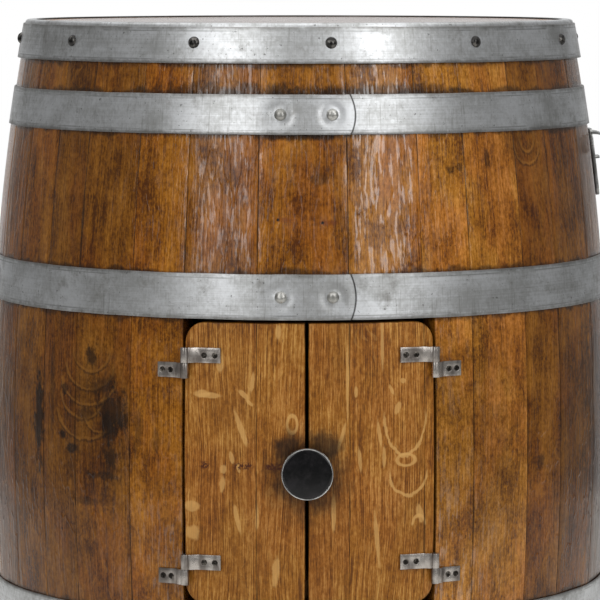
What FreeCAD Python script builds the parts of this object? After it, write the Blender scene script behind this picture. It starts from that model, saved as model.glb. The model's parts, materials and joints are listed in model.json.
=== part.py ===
"""Oak barrel made into a bar cabinet: bent staves and heads, steel hoops, a lacquered top, two doors.

Millimetres. The origin is the centre of the ring that the barrel stands on, +Z is up and the doors
face -Y. Azimuths are in degrees from the front (-Y), growing towards +X.
"""
import FreeCAD
import Part
import math
import os

from FreeCAD import Vector

# ---------------------------------------------------------------- driving dimensions: the cask
OVERALL_HEIGHT = 890.0
BILGE_DIAMETER = 670.0          # over the wood, at mid-height
END_DIAMETER = 586.0            # over the wood, at the two ends
STAVE_THICKNESS = 27.0
FRONT_SEAMS = [-75.3, -64.2, -53.5, -44.6, -32.2, -21.9, -8.7, 7.4, 20.9, 30.6, 43.1, 52.8, 66.6]
BACK_STAVES = 16
STAVE_END_CHAMFER = 3.0         # outer edge, clears the bend of the folded hoop
CHIME_BEVEL = 4.0               # inner edge of the stave ends
CROZE_WIDTH = 6.0               # groove that holds a head
CROZE_DEPTH = 5.0
HEAD_THICKNESS = 22.0
HEAD_BEVEL = 12.0
HEAD_CLEARANCE = 0.5
GLUE_LINE = 0.1                 # between a wall and the curved blocks glued to it
HEAD_BOARDS = 6

# ---------------------------------------------------------------- driving dimensions: the hoops
HOOP_THICKNESS = 1.6
HOOP_CLEARANCE = 0.05
HEAD_HOOP_WIDTH = 40.5
HEAD_HOOP_SHOULDER = 4.0        # bend radius where the head hoop is hammered over the stave ends
HEAD_HOOP_FLANGE = 12.5         # how far it reaches in over the stave ends
HEAD_HOOP_LAP = 168.5           # azimuth of its lap, at the back between two nails
QUARTER_HOOP_WIDTH = 40.0
QUARTER_HOOP_SETBACK = 71.0     # from the end of the barrel to the hoop's near edge
BILGE_HOOP_WIDTH = 45.5
BILGE_HOOP_SETBACK = 249.5
LAP_REACH = 49.0                # from the middle of the lap to the tip of the outer end
LAP_TIP_SAG = 5.0               # how far that end bulges
RIVET_SPACING = 51.6
RIVET_HEAD_RADIUS = 6.2
RIVET_HEAD_HEIGHT = 4.2
RIVET_SHANK_RADIUS = 3.0
NAIL_AZIMUTHS = [-84, -52.5, -22, 4.8, 35.4, 65, 93, 123, 153, 184, 214, 245]
NAIL_DROP = 20.0                # from the end of the barrel to the nails
NAIL_HEAD_RADIUS = 5.8
NAIL_HEAD_HEIGHT = 5.6
NAIL_SHANK_RADIUS = 1.8
NAIL_LENGTH = 22.0

# ---------------------------------------------------------------- driving dimensions: inside and top
BAR_TOP_THICKNESS = 27.0
BAR_TOP_CLEARANCE = 0.6
FLOOR_THICKNESS = 18.0
FLOOR_RISE = 22.0               # top of the floor above the doors' lower edge; the doors close on it
FLOOR_CLEARANCE = 0.6
FLOOR_BOARDS = 5
LEDGER_SIZE = 20.0
LEDGER_AZIMUTHS = [50, 130, 230, 310]
LEDGER_SPAN = 34.0              # degrees

# ---------------------------------------------------------------- driving dimensions: the doors
DOOR_TOP_GAP = 3.2              # below the edge of the upper bilge hoop
DOOR_BOTTOM_GAP = 11.8          # above the edge of the lower bilge hoop
OPENING_LEFT = -21.9            # azimuths of the sides of the opening
OPENING_RIGHT = 23.1
OPENING_TOP_HIDDEN = 1.6        # how far the cut edge above sits behind the hoop
SIDE_GAP = 2.2
MEETING_GAP = 3.5
DOOR_CORNER_RADIUS = 20.0
BATTEN_HEIGHT = 28.0
BATTEN_THICKNESS = 16.0
BATTEN_SETBACK = 30.0           # from the ends of the door
BATTEN_SIDE_SETBACK = 3.0       # degrees, from the sides of the door

# ---------------------------------------------------------------- driving dimensions: hinges
LOWER_HINGE_SETBACK = 34.8      # from the ends of the door to the joint between the knuckles
UPPER_HINGE_SETBACK = 40.8
LEFT_HINGE_INSET = 0.7          # degrees, from the sides of the opening to the hinge lines
RIGHT_HINGE_INSET = 0.5
KNUCKLE_RADIUS = 4.25
KNUCKLE_LENGTH = 15.2
KNUCKLE_GAP = 0.4
KNUCKLE_CLEARANCE = 0.4         # between the knuckles and the wood behind them
PIN_RADIUS = 2.0
PIN_CLEARANCE = 0.05
LEAF_THICKNESS = 1.8
LEAF_ROOT = 6.2                 # from the pin's axis to the first bend
LEAF_FLAT_START = 10.8
DOOR_LEAF_REACH = 36.5
DOOR_LEAF_SCREWS = [19.3, 30.4]
FRAME_LEAF_REACH = 30.5
FRAME_LEAF_SCREWS = [16.6, 25.4]
SEAT_CLEARANCE = 0.05           # between the wood and the metal screwed to it
SCREW_HEAD_RADIUS = 3.1
SCREW_HEAD_HEIGHT = 1.5
SCREW_SHANK_RADIUS = 1.6
SCREW_LENGTH = 18.0
DRILL_CLEARANCE = 0.05
DRILL_OVERRUN = 1.0

# ---------------------------------------------------------------- driving dimensions: knob, catch, opener
KNOB_RADIUS = 26.0
KNOB_THICKNESS = 6.0
KNOB_STANDOFF = 12.0            # from the wood to the back of the disc
KNOB_DROP = 6.3                 # from the middle of the doors' height
KNOB_FACE_RADIUS = 24.6
KNOB_FACE_DEPTH = 1.6
KNOB_STEM_RADIUS = 8.0
KNOB_STEM_OFFSET = 12.0         # the stem stands on the right-hand door
KNOB_STUD_RADIUS = 3.0
KNOB_STUD_LENGTH = 24.0
MAGNET_RADIUS = 5.0
MAGNET_LENGTH = 8.0
MAGNET_AZIMUTH = 8.0
MAGNET_RECESS = 0.3
STRIKE_RADIUS = 7.0
STRIKE_THICKNESS = 1.5
OPENER_AZIMUTH = 90.0
OPENER_TOP_GAP = 7.5            # below the edge of the upper quarter hoop
OPENER_HEIGHT = 72.0
OPENER_WIDTH = 42.0
OPENER_PLATE = 3.0
OPENER_CORNER_RADIUS = 8.4
OPENER_HOOD_REACH = 27.0
OPENER_HOOD_HEIGHT = 24.0
OPENER_TOOTH_REACH = 7.0
OPENER_TOOTH_WIDTH = 21.0
OPENER_TOOTH_GAP = 6.0          # between the lip of the hood and the tooth
OPENER_SCREW_DROP = 50.0        # from the top of the plate
OPENER_SCREW_SPACING = 24.0

# ---------------------------------------------------------------- worked-out sizes
MIDDLE = OVERALL_HEIGHT / 2
WOOD_BOTTOM = HOOP_THICKNESS
WOOD_TOP = OVERALL_HEIGHT - HOOP_THICKNESS
STAVE_RISE = (WOOD_TOP - WOOD_BOTTOM) / 2
BEND = (BILGE_DIAMETER - END_DIAMETER) / 2
BEND_RADIUS = (STAVE_RISE ** 2 + BEND ** 2) / (2 * BEND)
BEND_CENTRE = BILGE_DIAMETER / 2 - BEND_RADIUS

TOP_HEAD_TOP = WOOD_TOP - BAR_TOP_THICKNESS
TOP_HEAD_BOTTOM = TOP_HEAD_TOP - HEAD_THICKNESS
BOTTOM_HEAD_BOTTOM = WOOD_BOTTOM + (WOOD_TOP - TOP_HEAD_TOP)
BOTTOM_HEAD_TOP = BOTTOM_HEAD_BOTTOM + HEAD_THICKNESS

UPPER_BILGE_HOOP_EDGE = OVERALL_HEIGHT - BILGE_HOOP_SETBACK - BILGE_HOOP_WIDTH
DOOR_TOP = UPPER_BILGE_HOOP_EDGE - DOOR_TOP_GAP
DOOR_BOTTOM = BILGE_HOOP_SETBACK + BILGE_HOOP_WIDTH + DOOR_BOTTOM_GAP
OPENING_TOP = UPPER_BILGE_HOOP_EDGE + OPENING_TOP_HIDDEN
OPENING_BOTTOM = DOOR_BOTTOM - SIDE_GAP
HINGE_LEFT = OPENING_LEFT + LEFT_HINGE_INSET
HINGE_RIGHT = OPENING_RIGHT - RIGHT_HINGE_INSET
HINGE_HEIGHTS = [DOOR_BOTTOM + LOWER_HINGE_SETBACK, DOOR_TOP - UPPER_HINGE_SETBACK]
KNOB_HEIGHT = (DOOR_TOP + DOOR_BOTTOM) / 2 - KNOB_DROP
OPENER_TOP = OVERALL_HEIGHT - QUARTER_HOOP_SETBACK - QUARTER_HOOP_WIDTH - OPENER_TOP_GAP
FLOOR_TOP = DOOR_BOTTOM + FLOOR_RISE
FLOOR_BOTTOM = FLOOR_TOP - FLOOR_THICKNESS
HEAD_HOOP_STRAIGHT = OVERALL_HEIGHT - 2 * HEAD_HOOP_SHOULDER    # where the head hoop leaves the wall

AXIS = Vector(0, 0, 1)
ORIGIN = Vector(0, 0, 0)


# ---------------------------------------------------------------- geometry helpers
def wall_radius(height, depth=0.0):
    """Radius of the bent wall at a height, at a depth below its outer face."""
    return BEND_CENTRE + math.sqrt((BEND_RADIUS - depth) ** 2 - (height - MIDDLE) ** 2)


def wall_point(height, depth=0.0):
    return Vector(wall_radius(height, depth), 0, height)


def wall_curve(start, end, depth=0.0):
    """Edge along the bent wall between two heights, drawn in the XZ plane."""
    middle = wall_point((start + end) / 2, depth)
    return Part.Arc(wall_point(start, depth), middle, wall_point(end, depth)).toShape()


def line(start, end):
    return Part.makeLine(start, end)


def chain(points):
    return [line(a, b) for a, b in zip(points, points[1:])]


def outward(azimuth):
    angle = math.radians(azimuth)
    return Vector(math.sin(angle), -math.cos(angle), 0)


def sideways(azimuth):
    """Horizontal direction of growing azimuth."""
    angle = math.radians(azimuth)
    return Vector(math.cos(angle), math.sin(angle), 0)


def at(azimuth, radius, height):
    return outward(azimuth) * radius + Vector(0, 0, height)


def sector(face, start, end):
    """Turn a face drawn in the XZ plane into the solid between two azimuths."""
    turned = face.copy()
    turned.rotate(ORIGIN, AXIS, start - 90)
    return turned.revolve(ORIGIN, AXIS, end - start)


def degrees_of(length, radius=BILGE_DIAMETER / 2):
    return math.degrees(length / radius)


def wall_band(bottom, top, outer_depth, inner_depth):
    """Face of a layer of the wall between two heights and two depths."""
    edges = [wall_curve(bottom, top, outer_depth),
             line(wall_point(top, outer_depth), wall_point(top, inner_depth)),
             wall_curve(top, bottom, inner_depth),
             line(wall_point(bottom, inner_depth), wall_point(bottom, outer_depth))]
    return Part.Face(Part.Wire(edges))


def disc(radius, bottom, top):
    return Part.makeCylinder(radius, top - bottom, Vector(0, 0, bottom))


def rod(start, direction, radius, length):
    return Part.makeCylinder(radius, length, start, direction)


def boards(shape, count, along):
    """Saw a round panel into boards of equal width that run along X or Y."""
    box = shape.BoundBox
    low, size = (box.YMin, box.YLength) if along == "x" else (box.XMin, box.XLength)
    width = size / count
    pieces = []
    for i in range(count):
        if along == "x":
            slab = Part.makeBox(box.XLength, width, box.ZLength,
                                Vector(box.XMin, low + i * width, box.ZMin))
        else:
            slab = Part.makeBox(width, box.YLength, box.ZLength,
                                Vector(low + i * width, box.YMin, box.ZMin))
        pieces.append(shape.common(slab))
    return Part.makeCompound([solid for piece in pieces for solid in piece.Solids])


def drill(shape, tools):
    """Cut the tools that reach the shape."""
    near = [tool for tool in tools if tool.BoundBox.intersect(shape.BoundBox)]
    if not near:
        return shape
    cut = shape.cut(near)
    return cut.Solids[0] if len(cut.Solids) == 1 else cut


def turned(points, centre, direction):
    """Solid of revolution about its own axis; points are (radius, distance along the axis)."""
    outline = [Vector(radius, 0, along) for radius, along in points]
    face = Part.Face(Part.Wire(chain(outline + outline[:1])))
    solid = face.revolve(ORIGIN, AXIS, 360)
    solid.Placement = FreeCAD.Placement(centre, FreeCAD.Rotation(AXIS, direction))
    return solid


def dome(radius, height, shank_radius, shank_length, centre, direction):
    """Round-headed fastener whose head sits on `centre` and whose shank runs back from it."""
    curve = (radius ** 2 + height ** 2) / (2 * height)
    half = math.asin(min(1.0, radius / curve)) / 2
    top = Vector(0, 0, height)
    middle = Vector(curve * math.sin(half), 0, height - curve + curve * math.cos(half))
    rim = Vector(radius, 0, 0)
    edges = [Part.Arc(top, middle, rim).toShape()]
    edges += chain([rim, Vector(shank_radius, 0, 0), Vector(shank_radius, 0, -shank_length),
                    Vector(0, 0, -shank_length), top])
    solid = Part.Face(Part.Wire(edges)).revolve(ORIGIN, AXIS, 360)
    solid.Placement = FreeCAD.Placement(centre, FreeCAD.Rotation(AXIS, direction))
    return solid


def thick_strip(points, thickness):
    """Face of a strip of even thickness that follows a bent line, with mitred bends."""
    half = thickness / 2
    runs = [(b - a).normalize() for a, b in zip(points, points[1:])]
    sides = [Vector(-run.y, run.x, 0) for run in runs]
    offsets = [sides[0]]
    for first, second in zip(sides, sides[1:]):
        middle = (first + second).normalize()
        offsets.append(middle / middle.dot(first))
    offsets.append(sides[-1])
    left = [point + offset * half for point, offset in zip(points, offsets)]
    right = [point - offset * half for point, offset in zip(points, offsets)]
    outline = left + right[::-1]
    return Part.Face(Part.Wire(chain(outline + outline[:1])))


# ---------------------------------------------------------------- staves
def stave_end(end, inward):
    """Points from the outer face to the inner face round one end of a stave.

    `inward` is +1 at the bottom end and -1 at the top end.
    """
    outer_mark = end + inward * STAVE_END_CHAMFER
    inner_mark = end + inward * CHIME_BEVEL
    return [wall_point(outer_mark),
            Vector(wall_radius(end) - STAVE_END_CHAMFER, 0, end),
            Vector(wall_radius(end, STAVE_THICKNESS) + CHIME_BEVEL, 0, end),
            wall_point(inner_mark, STAVE_THICKNESS)]


def croze(middle):
    """Points of a head groove, from its lower lip to its upper lip."""
    low, high = middle - CROZE_WIDTH / 2, middle + CROZE_WIDTH / 2
    lower, upper = wall_point(low, STAVE_THICKNESS), wall_point(high, STAVE_THICKNESS)
    floor = max(lower.x, upper.x) + CROZE_DEPTH
    return [lower, Vector(floor, 0, low), Vector(floor, 0, high), upper]


def stave_face():
    """Section of a whole stave: bent faces, chamfered ends, a groove for each head."""
    top, bottom = stave_end(WOOD_TOP, -1), stave_end(WOOD_BOTTOM, 1)
    lower = croze((BOTTOM_HEAD_BOTTOM + BOTTOM_HEAD_TOP) / 2)
    upper = croze((TOP_HEAD_BOTTOM + TOP_HEAD_TOP) / 2)
    inner = STAVE_THICKNESS
    edges = [wall_curve(bottom[0].z, top[0].z)] + chain(top)
    edges += [wall_curve(top[-1].z, upper[-1].z, inner)] + chain(upper[::-1])
    edges += [wall_curve(upper[0].z, lower[-1].z, inner)] + chain(lower[::-1])
    edges += [wall_curve(lower[0].z, bottom[-1].z, inner)] + chain(bottom[::-1])
    return Part.Face(Part.Wire(edges))


def seam_azimuths():
    """Front seams as listed, then equal staves round the back to the first seam again."""
    first, last = FRONT_SEAMS[0], FRONT_SEAMS[-1]
    step = (360 + first - last) / BACK_STAVES
    return FRONT_SEAMS + [last + step * i for i in range(1, BACK_STAVES + 1)]


def opening_block():
    """Everything sawn out of the wall for the doors."""
    face = wall_band(OPENING_BOTTOM, OPENING_TOP, -STAVE_THICKNESS, 2 * STAVE_THICKNESS)
    return sector(face, OPENING_LEFT, OPENING_RIGHT)


def staves(tools):
    """Whole staves by number, and the short ones left above and below the doors."""
    face = stave_face()
    opening = opening_block()
    whole, above, below = [], [], []
    seams = seam_azimuths()
    for start, end in zip(seams, seams[1:]):
        solid = sector(face, start, end)
        if end > OPENING_LEFT and start < OPENING_RIGHT:
            parts = solid.cut(opening).Solids
        else:
            parts = [solid]
        parts = [drill(part, tools) for part in parts]
        if len(parts) == 1:
            whole.append(parts[0])
            continue
        for part in parts:
            (above if part.CenterOfMass.z > MIDDLE else below).append(part)
    return whole, Part.makeCompound(above), Part.makeCompound(below)


# ---------------------------------------------------------------- heads, top and floor
def head(bottom, top):
    """Head panel with bevelled edges that end in the tongue held by the croze."""
    middle = (bottom + top) / 2
    low, high = middle - CROZE_WIDTH / 2, middle + CROZE_WIDTH / 2
    lips = [wall_radius(low, STAVE_THICKNESS), wall_radius(high, STAVE_THICKNESS)]
    lip = min(lips) - HEAD_CLEARANCE
    rim = max(lips) + CROZE_DEPTH - HEAD_CLEARANCE
    flat = lip - HEAD_BEVEL
    outline = [(0, bottom), (flat, bottom), (lip, low), (rim, low),
               (rim, high), (lip, high), (flat, top), (0, top)]
    return boards(turned(outline, ORIGIN, AXIS), HEAD_BOARDS, "y")


def bar_top():
    radius = wall_radius(WOOD_TOP, STAVE_THICKNESS) - BAR_TOP_CLEARANCE
    return boards(disc(radius, TOP_HEAD_TOP, WOOD_TOP), HEAD_BOARDS, "x")


def floor_radius():
    return wall_radius(FLOOR_BOTTOM, STAVE_THICKNESS) - FLOOR_CLEARANCE


def cabinet_floor():
    panel = boards(disc(floor_radius(), FLOOR_BOTTOM, FLOOR_TOP), FLOOR_BOARDS, "y")
    return Part.makeCompound([drill(board, magnets(DRILL_CLEARANCE)) for board in panel.Solids])


def ledgers():
    """Curved blocks glued to the staves under the floor, clear of the doors."""
    outer = STAVE_THICKNESS + GLUE_LINE
    face = wall_band(FLOOR_BOTTOM - LEDGER_SIZE, FLOOR_BOTTOM, outer, outer + LEDGER_SIZE)
    blocks = [sector(face, middle - LEDGER_SPAN / 2, middle + LEDGER_SPAN / 2) for middle in LEDGER_AZIMUTHS]
    return Part.makeCompound(blocks)


def magnets(clearance=0.0):
    """Round magnets let into the front edge of the floor, one behind each door."""
    height = (FLOOR_BOTTOM + FLOOR_TOP) / 2
    radius = floor_radius() - MAGNET_RECESS
    pieces = []
    for azimuth in (-MAGNET_AZIMUTH, MAGNET_AZIMUTH):
        reach = MAGNET_LENGTH + (2 * MAGNET_RECESS if clearance else 0)
        pieces.append(rod(at(azimuth, radius - MAGNET_LENGTH, height), outward(azimuth),
                          MAGNET_RADIUS + clearance, reach))
    return pieces


# ---------------------------------------------------------------- hoops
def folded_hoop_face():
    """Section of the top head hoop: a band on the wall, a bend, a flange over the stave ends."""
    edge = OVERALL_HEIGHT - HEAD_HOOP_WIDTH
    lean = math.asin((OVERALL_HEIGHT - MIDDLE) / BEND_RADIUS)
    outer_depth, inner_depth = -HOOP_CLEARANCE - HOOP_THICKNESS, -HOOP_CLEARANCE
    centre_x = (wall_radius(OVERALL_HEIGHT, outer_depth)
                - HEAD_HOOP_SHOULDER * (1 - math.sin(lean)) / math.cos(lean))
    centre = Vector(centre_x, 0, OVERALL_HEIGHT - HEAD_HOOP_SHOULDER)
    half_way = (lean + math.pi / 2) / 2

    def bend(radius):
        directions = [Vector(math.cos(angle), 0, math.sin(angle)) for angle in (lean, half_way, math.pi / 2)]
        return [centre + direction * radius for direction in directions]

    outer, inner = bend(HEAD_HOOP_SHOULDER), bend(HEAD_HOOP_SHOULDER - HOOP_THICKNESS)
    flange = centre_x + HEAD_HOOP_SHOULDER - HEAD_HOOP_FLANGE
    edges = [wall_curve(edge, HEAD_HOOP_STRAIGHT, outer_depth),
             line(wall_point(HEAD_HOOP_STRAIGHT, outer_depth), outer[0]),
             Part.Arc(*outer).toShape()]
    edges += chain([outer[-1], Vector(flange, 0, OVERALL_HEIGHT), Vector(flange, 0, WOOD_TOP), inner[-1]])
    edges += [Part.Arc(*inner[::-1]).toShape(),
              line(inner[0], wall_point(HEAD_HOOP_STRAIGHT, inner_depth)),
              wall_curve(HEAD_HOOP_STRAIGHT, edge, inner_depth),
              line(wall_point(edge, inner_depth), wall_point(edge, outer_depth))]
    return Part.Face(Part.Wire(edges))


def plain_hoop_face(bottom, top, layer=0):
    """Section of a hoop band; layer 1 is the lapped end that lies on layer 0."""
    inner_depth = -HOOP_CLEARANCE - layer * HOOP_THICKNESS
    return wall_band(bottom, top, inner_depth - HOOP_THICKNESS, inner_depth)


def lap(bottom, top, azimuth):
    """The outer end of a hoop, lapped over the inner one and cut to a bulging tip."""
    radius = wall_radius((bottom + top) / 2)
    reach = degrees_of(LAP_REACH, radius)
    strip = sector(plain_hoop_face(bottom, top, 1), azimuth - reach, azimuth + reach)
    width = top - bottom
    tip_radius = (width ** 2 / 4 + LAP_TIP_SAG ** 2) / (2 * LAP_TIP_SAG)
    centre = (at(azimuth, radius - 2 * STAVE_THICKNESS, (bottom + top) / 2)
              + sideways(azimuth) * (LAP_REACH - tip_radius))
    rounding = rod(centre, outward(azimuth), tip_radius, 4 * STAVE_THICKNESS)
    corner = (at(azimuth, radius + 2 * STAVE_THICKNESS, bottom)
              - sideways(azimuth) * (2 * LAP_REACH - RIVET_SPACING / 2))
    keep = Part.makeBox(2 * LAP_REACH, 4 * STAVE_THICKNESS, width)
    keep.Placement = FreeCAD.Placement(corner, FreeCAD.Rotation(AXIS, azimuth))
    return strip.common(rounding.fuse(keep))


def rivet_azimuths(azimuth, radius):
    half = degrees_of(RIVET_SPACING / 2, radius)
    return [azimuth - half, azimuth + half]


def flip(shape):
    """Mirror a shape of the upper half to the lower half."""
    return shape.mirror(Vector(0, 0, MIDDLE), AXIS)


def upper_hoops():
    """(name, bottom, top, azimuth of the lap, band face) of the three hoops of the upper half."""
    head_edge = OVERALL_HEIGHT - HEAD_HOOP_WIDTH
    quarter_top = OVERALL_HEIGHT - QUARTER_HOOP_SETBACK
    bilge_top = OVERALL_HEIGHT - BILGE_HOOP_SETBACK
    spans = [("quarter_hoop", quarter_top - QUARTER_HOOP_WIDTH, quarter_top),
             ("bilge_hoop", bilge_top - BILGE_HOOP_WIDTH, bilge_top)]
    rows = [("head_hoop", head_edge, HEAD_HOOP_STRAIGHT, HEAD_HOOP_LAP, folded_hoop_face())]
    rows += [(name, low, high, 0, plain_hoop_face(low, high)) for name, low, high in spans]
    return rows


def rivets():
    """Two round-headed rivets through each lap of the upper half."""
    pieces = []
    for name, low, high, azimuth, face in upper_hoops():
        height = (low + high) / 2
        radius = wall_radius(height)
        lean = math.asin((height - MIDDLE) / BEND_RADIUS)
        seat = radius + (HOOP_CLEARANCE + 2 * HOOP_THICKNESS) / math.cos(lean)
        for turn in rivet_azimuths(azimuth, radius):
            direction = outward(turn) * math.cos(lean) + AXIS * math.sin(lean)
            pieces.append(dome(RIVET_HEAD_RADIUS, RIVET_HEAD_HEIGHT, RIVET_SHANK_RADIUS,
                               2 * HOOP_THICKNESS, at(turn, seat, height), direction))
    return pieces


def nail_line(azimuth):
    """Seat and direction of a nail of the top head hoop."""
    height = OVERALL_HEIGHT - NAIL_DROP
    lean = math.asin((height - MIDDLE) / BEND_RADIUS)
    seat = wall_radius(height) + (HOOP_CLEARANCE + HOOP_THICKNESS) / math.cos(lean)
    return at(azimuth, seat, height), outward(azimuth) * math.cos(lean) + AXIS * math.sin(lean)


def nails():
    pieces = []
    for azimuth in NAIL_AZIMUTHS:
        seat, direction = nail_line(azimuth)
        pieces.append(dome(NAIL_HEAD_RADIUS, NAIL_HEAD_HEIGHT, NAIL_SHANK_RADIUS, NAIL_LENGTH,
                           seat, direction))
    return pieces


def nail_holes():
    pieces = []
    for azimuth in NAIL_AZIMUTHS:
        seat, direction = nail_line(azimuth)
        pieces.append(rod(seat + direction * DRILL_OVERRUN, -direction, NAIL_SHANK_RADIUS + DRILL_CLEARANCE,
                          NAIL_LENGTH + 2 * DRILL_OVERRUN))
    return pieces


def hoop(low, high, azimuth, face, holes):
    band = sector(face, azimuth, azimuth + 360)
    whole = band.fuse(lap(low, high, azimuth)).removeSplitter()
    return drill(whole, holes)


# ---------------------------------------------------------------- hinges
def hinge_radius():
    """Distance of the hinge pins from the barrel's axis, clear of the wood behind every knuckle."""
    reach = KNUCKLE_LENGTH + KNUCKLE_GAP / 2
    spots = [height + shift for height in HINGE_HEIGHTS for shift in (-reach, reach)]
    return max(wall_radius(spot) for spot in spots) + KNUCKLE_CLEARANCE + KNUCKLE_RADIUS


def knuckle_bottom(height, on_door):
    return height + KNUCKLE_GAP / 2 if on_door else height - KNUCKLE_GAP / 2 - KNUCKLE_LENGTH


def leaf_lines(hinge, side, on_door, height):
    """Points of a leaf's bent centre line and the azimuth that its flat is square to.

    `side` is +1 where the leaf runs to growing azimuth.
    """
    reach = DOOR_LEAF_REACH if on_door else FRAME_LEAF_REACH
    low = knuckle_bottom(height, on_door)
    seat = max(wall_radius(low), wall_radius(low + KNUCKLE_LENGTH)) + SEAT_CLEARANCE
    half = (reach - LEAF_FLAT_START) / 2
    facing = hinge + side * degrees_of(LEAF_FLAT_START + half, seat)
    pin = outward(hinge) * hinge_radius()
    root = pin + sideways(hinge) * (side * LEAF_ROOT)
    middle = outward(facing) * (seat + LEAF_THICKNESS / 2)
    along = sideways(facing) * side
    return [pin, root, middle - along * half, middle + along * half], facing


def leaf_screw_seats(hinge, side, on_door, height):
    """Centre of each screw head's top face, and the direction it looks."""
    points, facing = leaf_lines(hinge, side, on_door, height)
    start = points[2]
    along = (points[3] - start).normalize()
    rise = Vector(0, 0, knuckle_bottom(height, on_door) + KNUCKLE_LENGTH / 2)
    distances = DOOR_LEAF_SCREWS if on_door else FRAME_LEAF_SCREWS
    surface = outward(facing) * (LEAF_THICKNESS / 2)
    return [(start + along * (distance - LEAF_FLAT_START) + rise + surface, outward(facing))
            for distance in distances]


def countersunk_screw(seat, direction, clearance=0.0):
    shank = SCREW_SHANK_RADIUS + clearance
    outline = [(0, 0), (SCREW_HEAD_RADIUS + clearance, 0), (shank, -SCREW_HEAD_HEIGHT - clearance),
               (shank, -SCREW_LENGTH - clearance), (0, -SCREW_LENGTH - clearance)]
    return turned(outline, seat, direction)


def hinge_leaf(hinge, side, on_door, height):
    """Knuckle and leaf of one hinge half, in one bent piece, bored and countersunk."""
    points, facing = leaf_lines(hinge, side, on_door, height)
    low = knuckle_bottom(height, on_door)
    leaf = thick_strip(points, LEAF_THICKNESS).extrude(Vector(0, 0, KNUCKLE_LENGTH))
    leaf.translate(Vector(0, 0, low))
    centre = points[0] + Vector(0, 0, low)
    knuckle = rod(centre, AXIS, KNUCKLE_RADIUS, KNUCKLE_LENGTH)
    bore = PIN_RADIUS + PIN_CLEARANCE if on_door else PIN_RADIUS
    tools = [rod(centre, AXIS, bore, KNUCKLE_LENGTH)]
    tools += [countersunk_screw(seat, way, DRILL_CLEARANCE)
              for seat, way in leaf_screw_seats(hinge, side, on_door, height)]
    return knuckle.fuse(leaf).removeSplitter().cut(tools)


def hinge_pin(hinge, height):
    low = knuckle_bottom(height, False)
    return rod(outward(hinge) * hinge_radius() + Vector(0, 0, low), AXIS, PIN_RADIUS,
               2 * KNUCKLE_LENGTH + KNUCKLE_GAP)


def hinge_screws(hinge, side, on_door, clearance=0.0):
    pieces = []
    for height in HINGE_HEIGHTS:
        for seat, way in leaf_screw_seats(hinge, side, on_door, height):
            pieces.append(countersunk_screw(seat, way, clearance))
    return pieces


# ---------------------------------------------------------------- doors
def door_sides():
    """Azimuths (start, end) of the left-hand and the right-hand door."""
    side, half = degrees_of(SIDE_GAP), degrees_of(MEETING_GAP / 2)
    return {"left": (OPENING_LEFT + side, -half), "right": (half, OPENING_RIGHT - side)}


def corner_cutters(azimuth, side):
    """What the two outer corners of a door lose; `side` points from the edge into the door."""
    size = DOOR_CORNER_RADIUS
    reach = 4 * STAVE_THICKNESS
    cutters = []
    for edge, inward in ((DOOR_TOP, -1), (DOOR_BOTTOM, 1)):
        corner = at(azimuth, BILGE_DIAMETER / 2 - reach / 2, edge)
        across, down = sideways(azimuth) * (side * size), Vector(0, 0, inward * size)
        centre = corner + across + down
        bow = centre - (across + down) * math.sqrt(0.5)
        edges = chain([corner + down, corner, corner + across])
        edges.append(Part.Arc(corner + across, bow, corner + down).toShape())
        cutters.append(Part.Face(Part.Wire(edges)).extrude(outward(azimuth) * reach))
    return cutters


def door_staves(which, tools):
    """Cut pieces of staves that make one door, from its left edge to its right edge."""
    start, end = door_sides()[which]
    edge, side = (start, 1) if which == "left" else (end, -1)
    face = wall_band(DOOR_BOTTOM, DOOR_TOP, 0, STAVE_THICKNESS)
    seams = [start] + [seam for seam in FRONT_SEAMS if start < seam < end] + [end]
    cutters = corner_cutters(edge, side) + tools
    return [drill(sector(face, a, b), cutters) for a, b in zip(seams, seams[1:])]


def battens(which):
    """Two curved battens glued across the back of a door."""
    start, end = door_sides()[which]
    start, end = start + BATTEN_SIDE_SETBACK, end - BATTEN_SIDE_SETBACK
    front = STAVE_THICKNESS + GLUE_LINE
    pieces = []
    for low in (DOOR_BOTTOM + BATTEN_SETBACK, DOOR_TOP - BATTEN_SETBACK - BATTEN_HEIGHT):
        face = wall_band(low, low + BATTEN_HEIGHT, front, front + BATTEN_THICKNESS)
        pieces.append(sector(face, start, end))
    return pieces


def strike(which, clearance=0.0):
    """Steel disc let into the back of a door, opposite its magnet."""
    azimuth = -MAGNET_AZIMUTH if which == "left" else MAGNET_AZIMUTH
    height = (FLOOR_BOTTOM + FLOOR_TOP) / 2
    face = wall_radius(height - STRIKE_RADIUS, STAVE_THICKNESS)
    depth = 2 * STRIKE_THICKNESS if clearance else 0
    return rod(at(azimuth, face - depth, height), outward(azimuth), STRIKE_RADIUS + clearance,
               STRIKE_THICKNESS + depth)


# ---------------------------------------------------------------- knob
def knob_back():
    """Distance from the barrel's axis to the back of the knob's disc."""
    return wall_radius(KNOB_HEIGHT) + KNOB_STANDOFF


def knob_body(clearance=0.0):
    """Steel cup, stem and stud in one piece; the stem stands to the right of the cup's middle."""
    back = Vector(0, -knob_back(), KNOB_HEIGHT)
    foot = Vector(KNOB_STEM_OFFSET, -wall_radius(KNOB_HEIGHT) - SEAT_CLEARANCE, KNOB_HEIGHT)
    outwards = Vector(0, -1, 0)
    stud = rod(foot, Vector(0, 1, 0), KNOB_STUD_RADIUS + clearance, KNOB_STUD_LENGTH + clearance)
    if clearance:
        return stud
    cup = rod(back, outwards, KNOB_RADIUS, KNOB_THICKNESS)
    seat = back + outwards * (KNOB_THICKNESS - KNOB_FACE_DEPTH)
    recess = rod(seat, outwards, KNOB_FACE_RADIUS, KNOB_FACE_DEPTH)
    stem = rod(foot, outwards, KNOB_STEM_RADIUS, KNOB_STANDOFF - SEAT_CLEARANCE)
    return cup.cut(recess).fuse([stem, stud]).removeSplitter()


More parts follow.
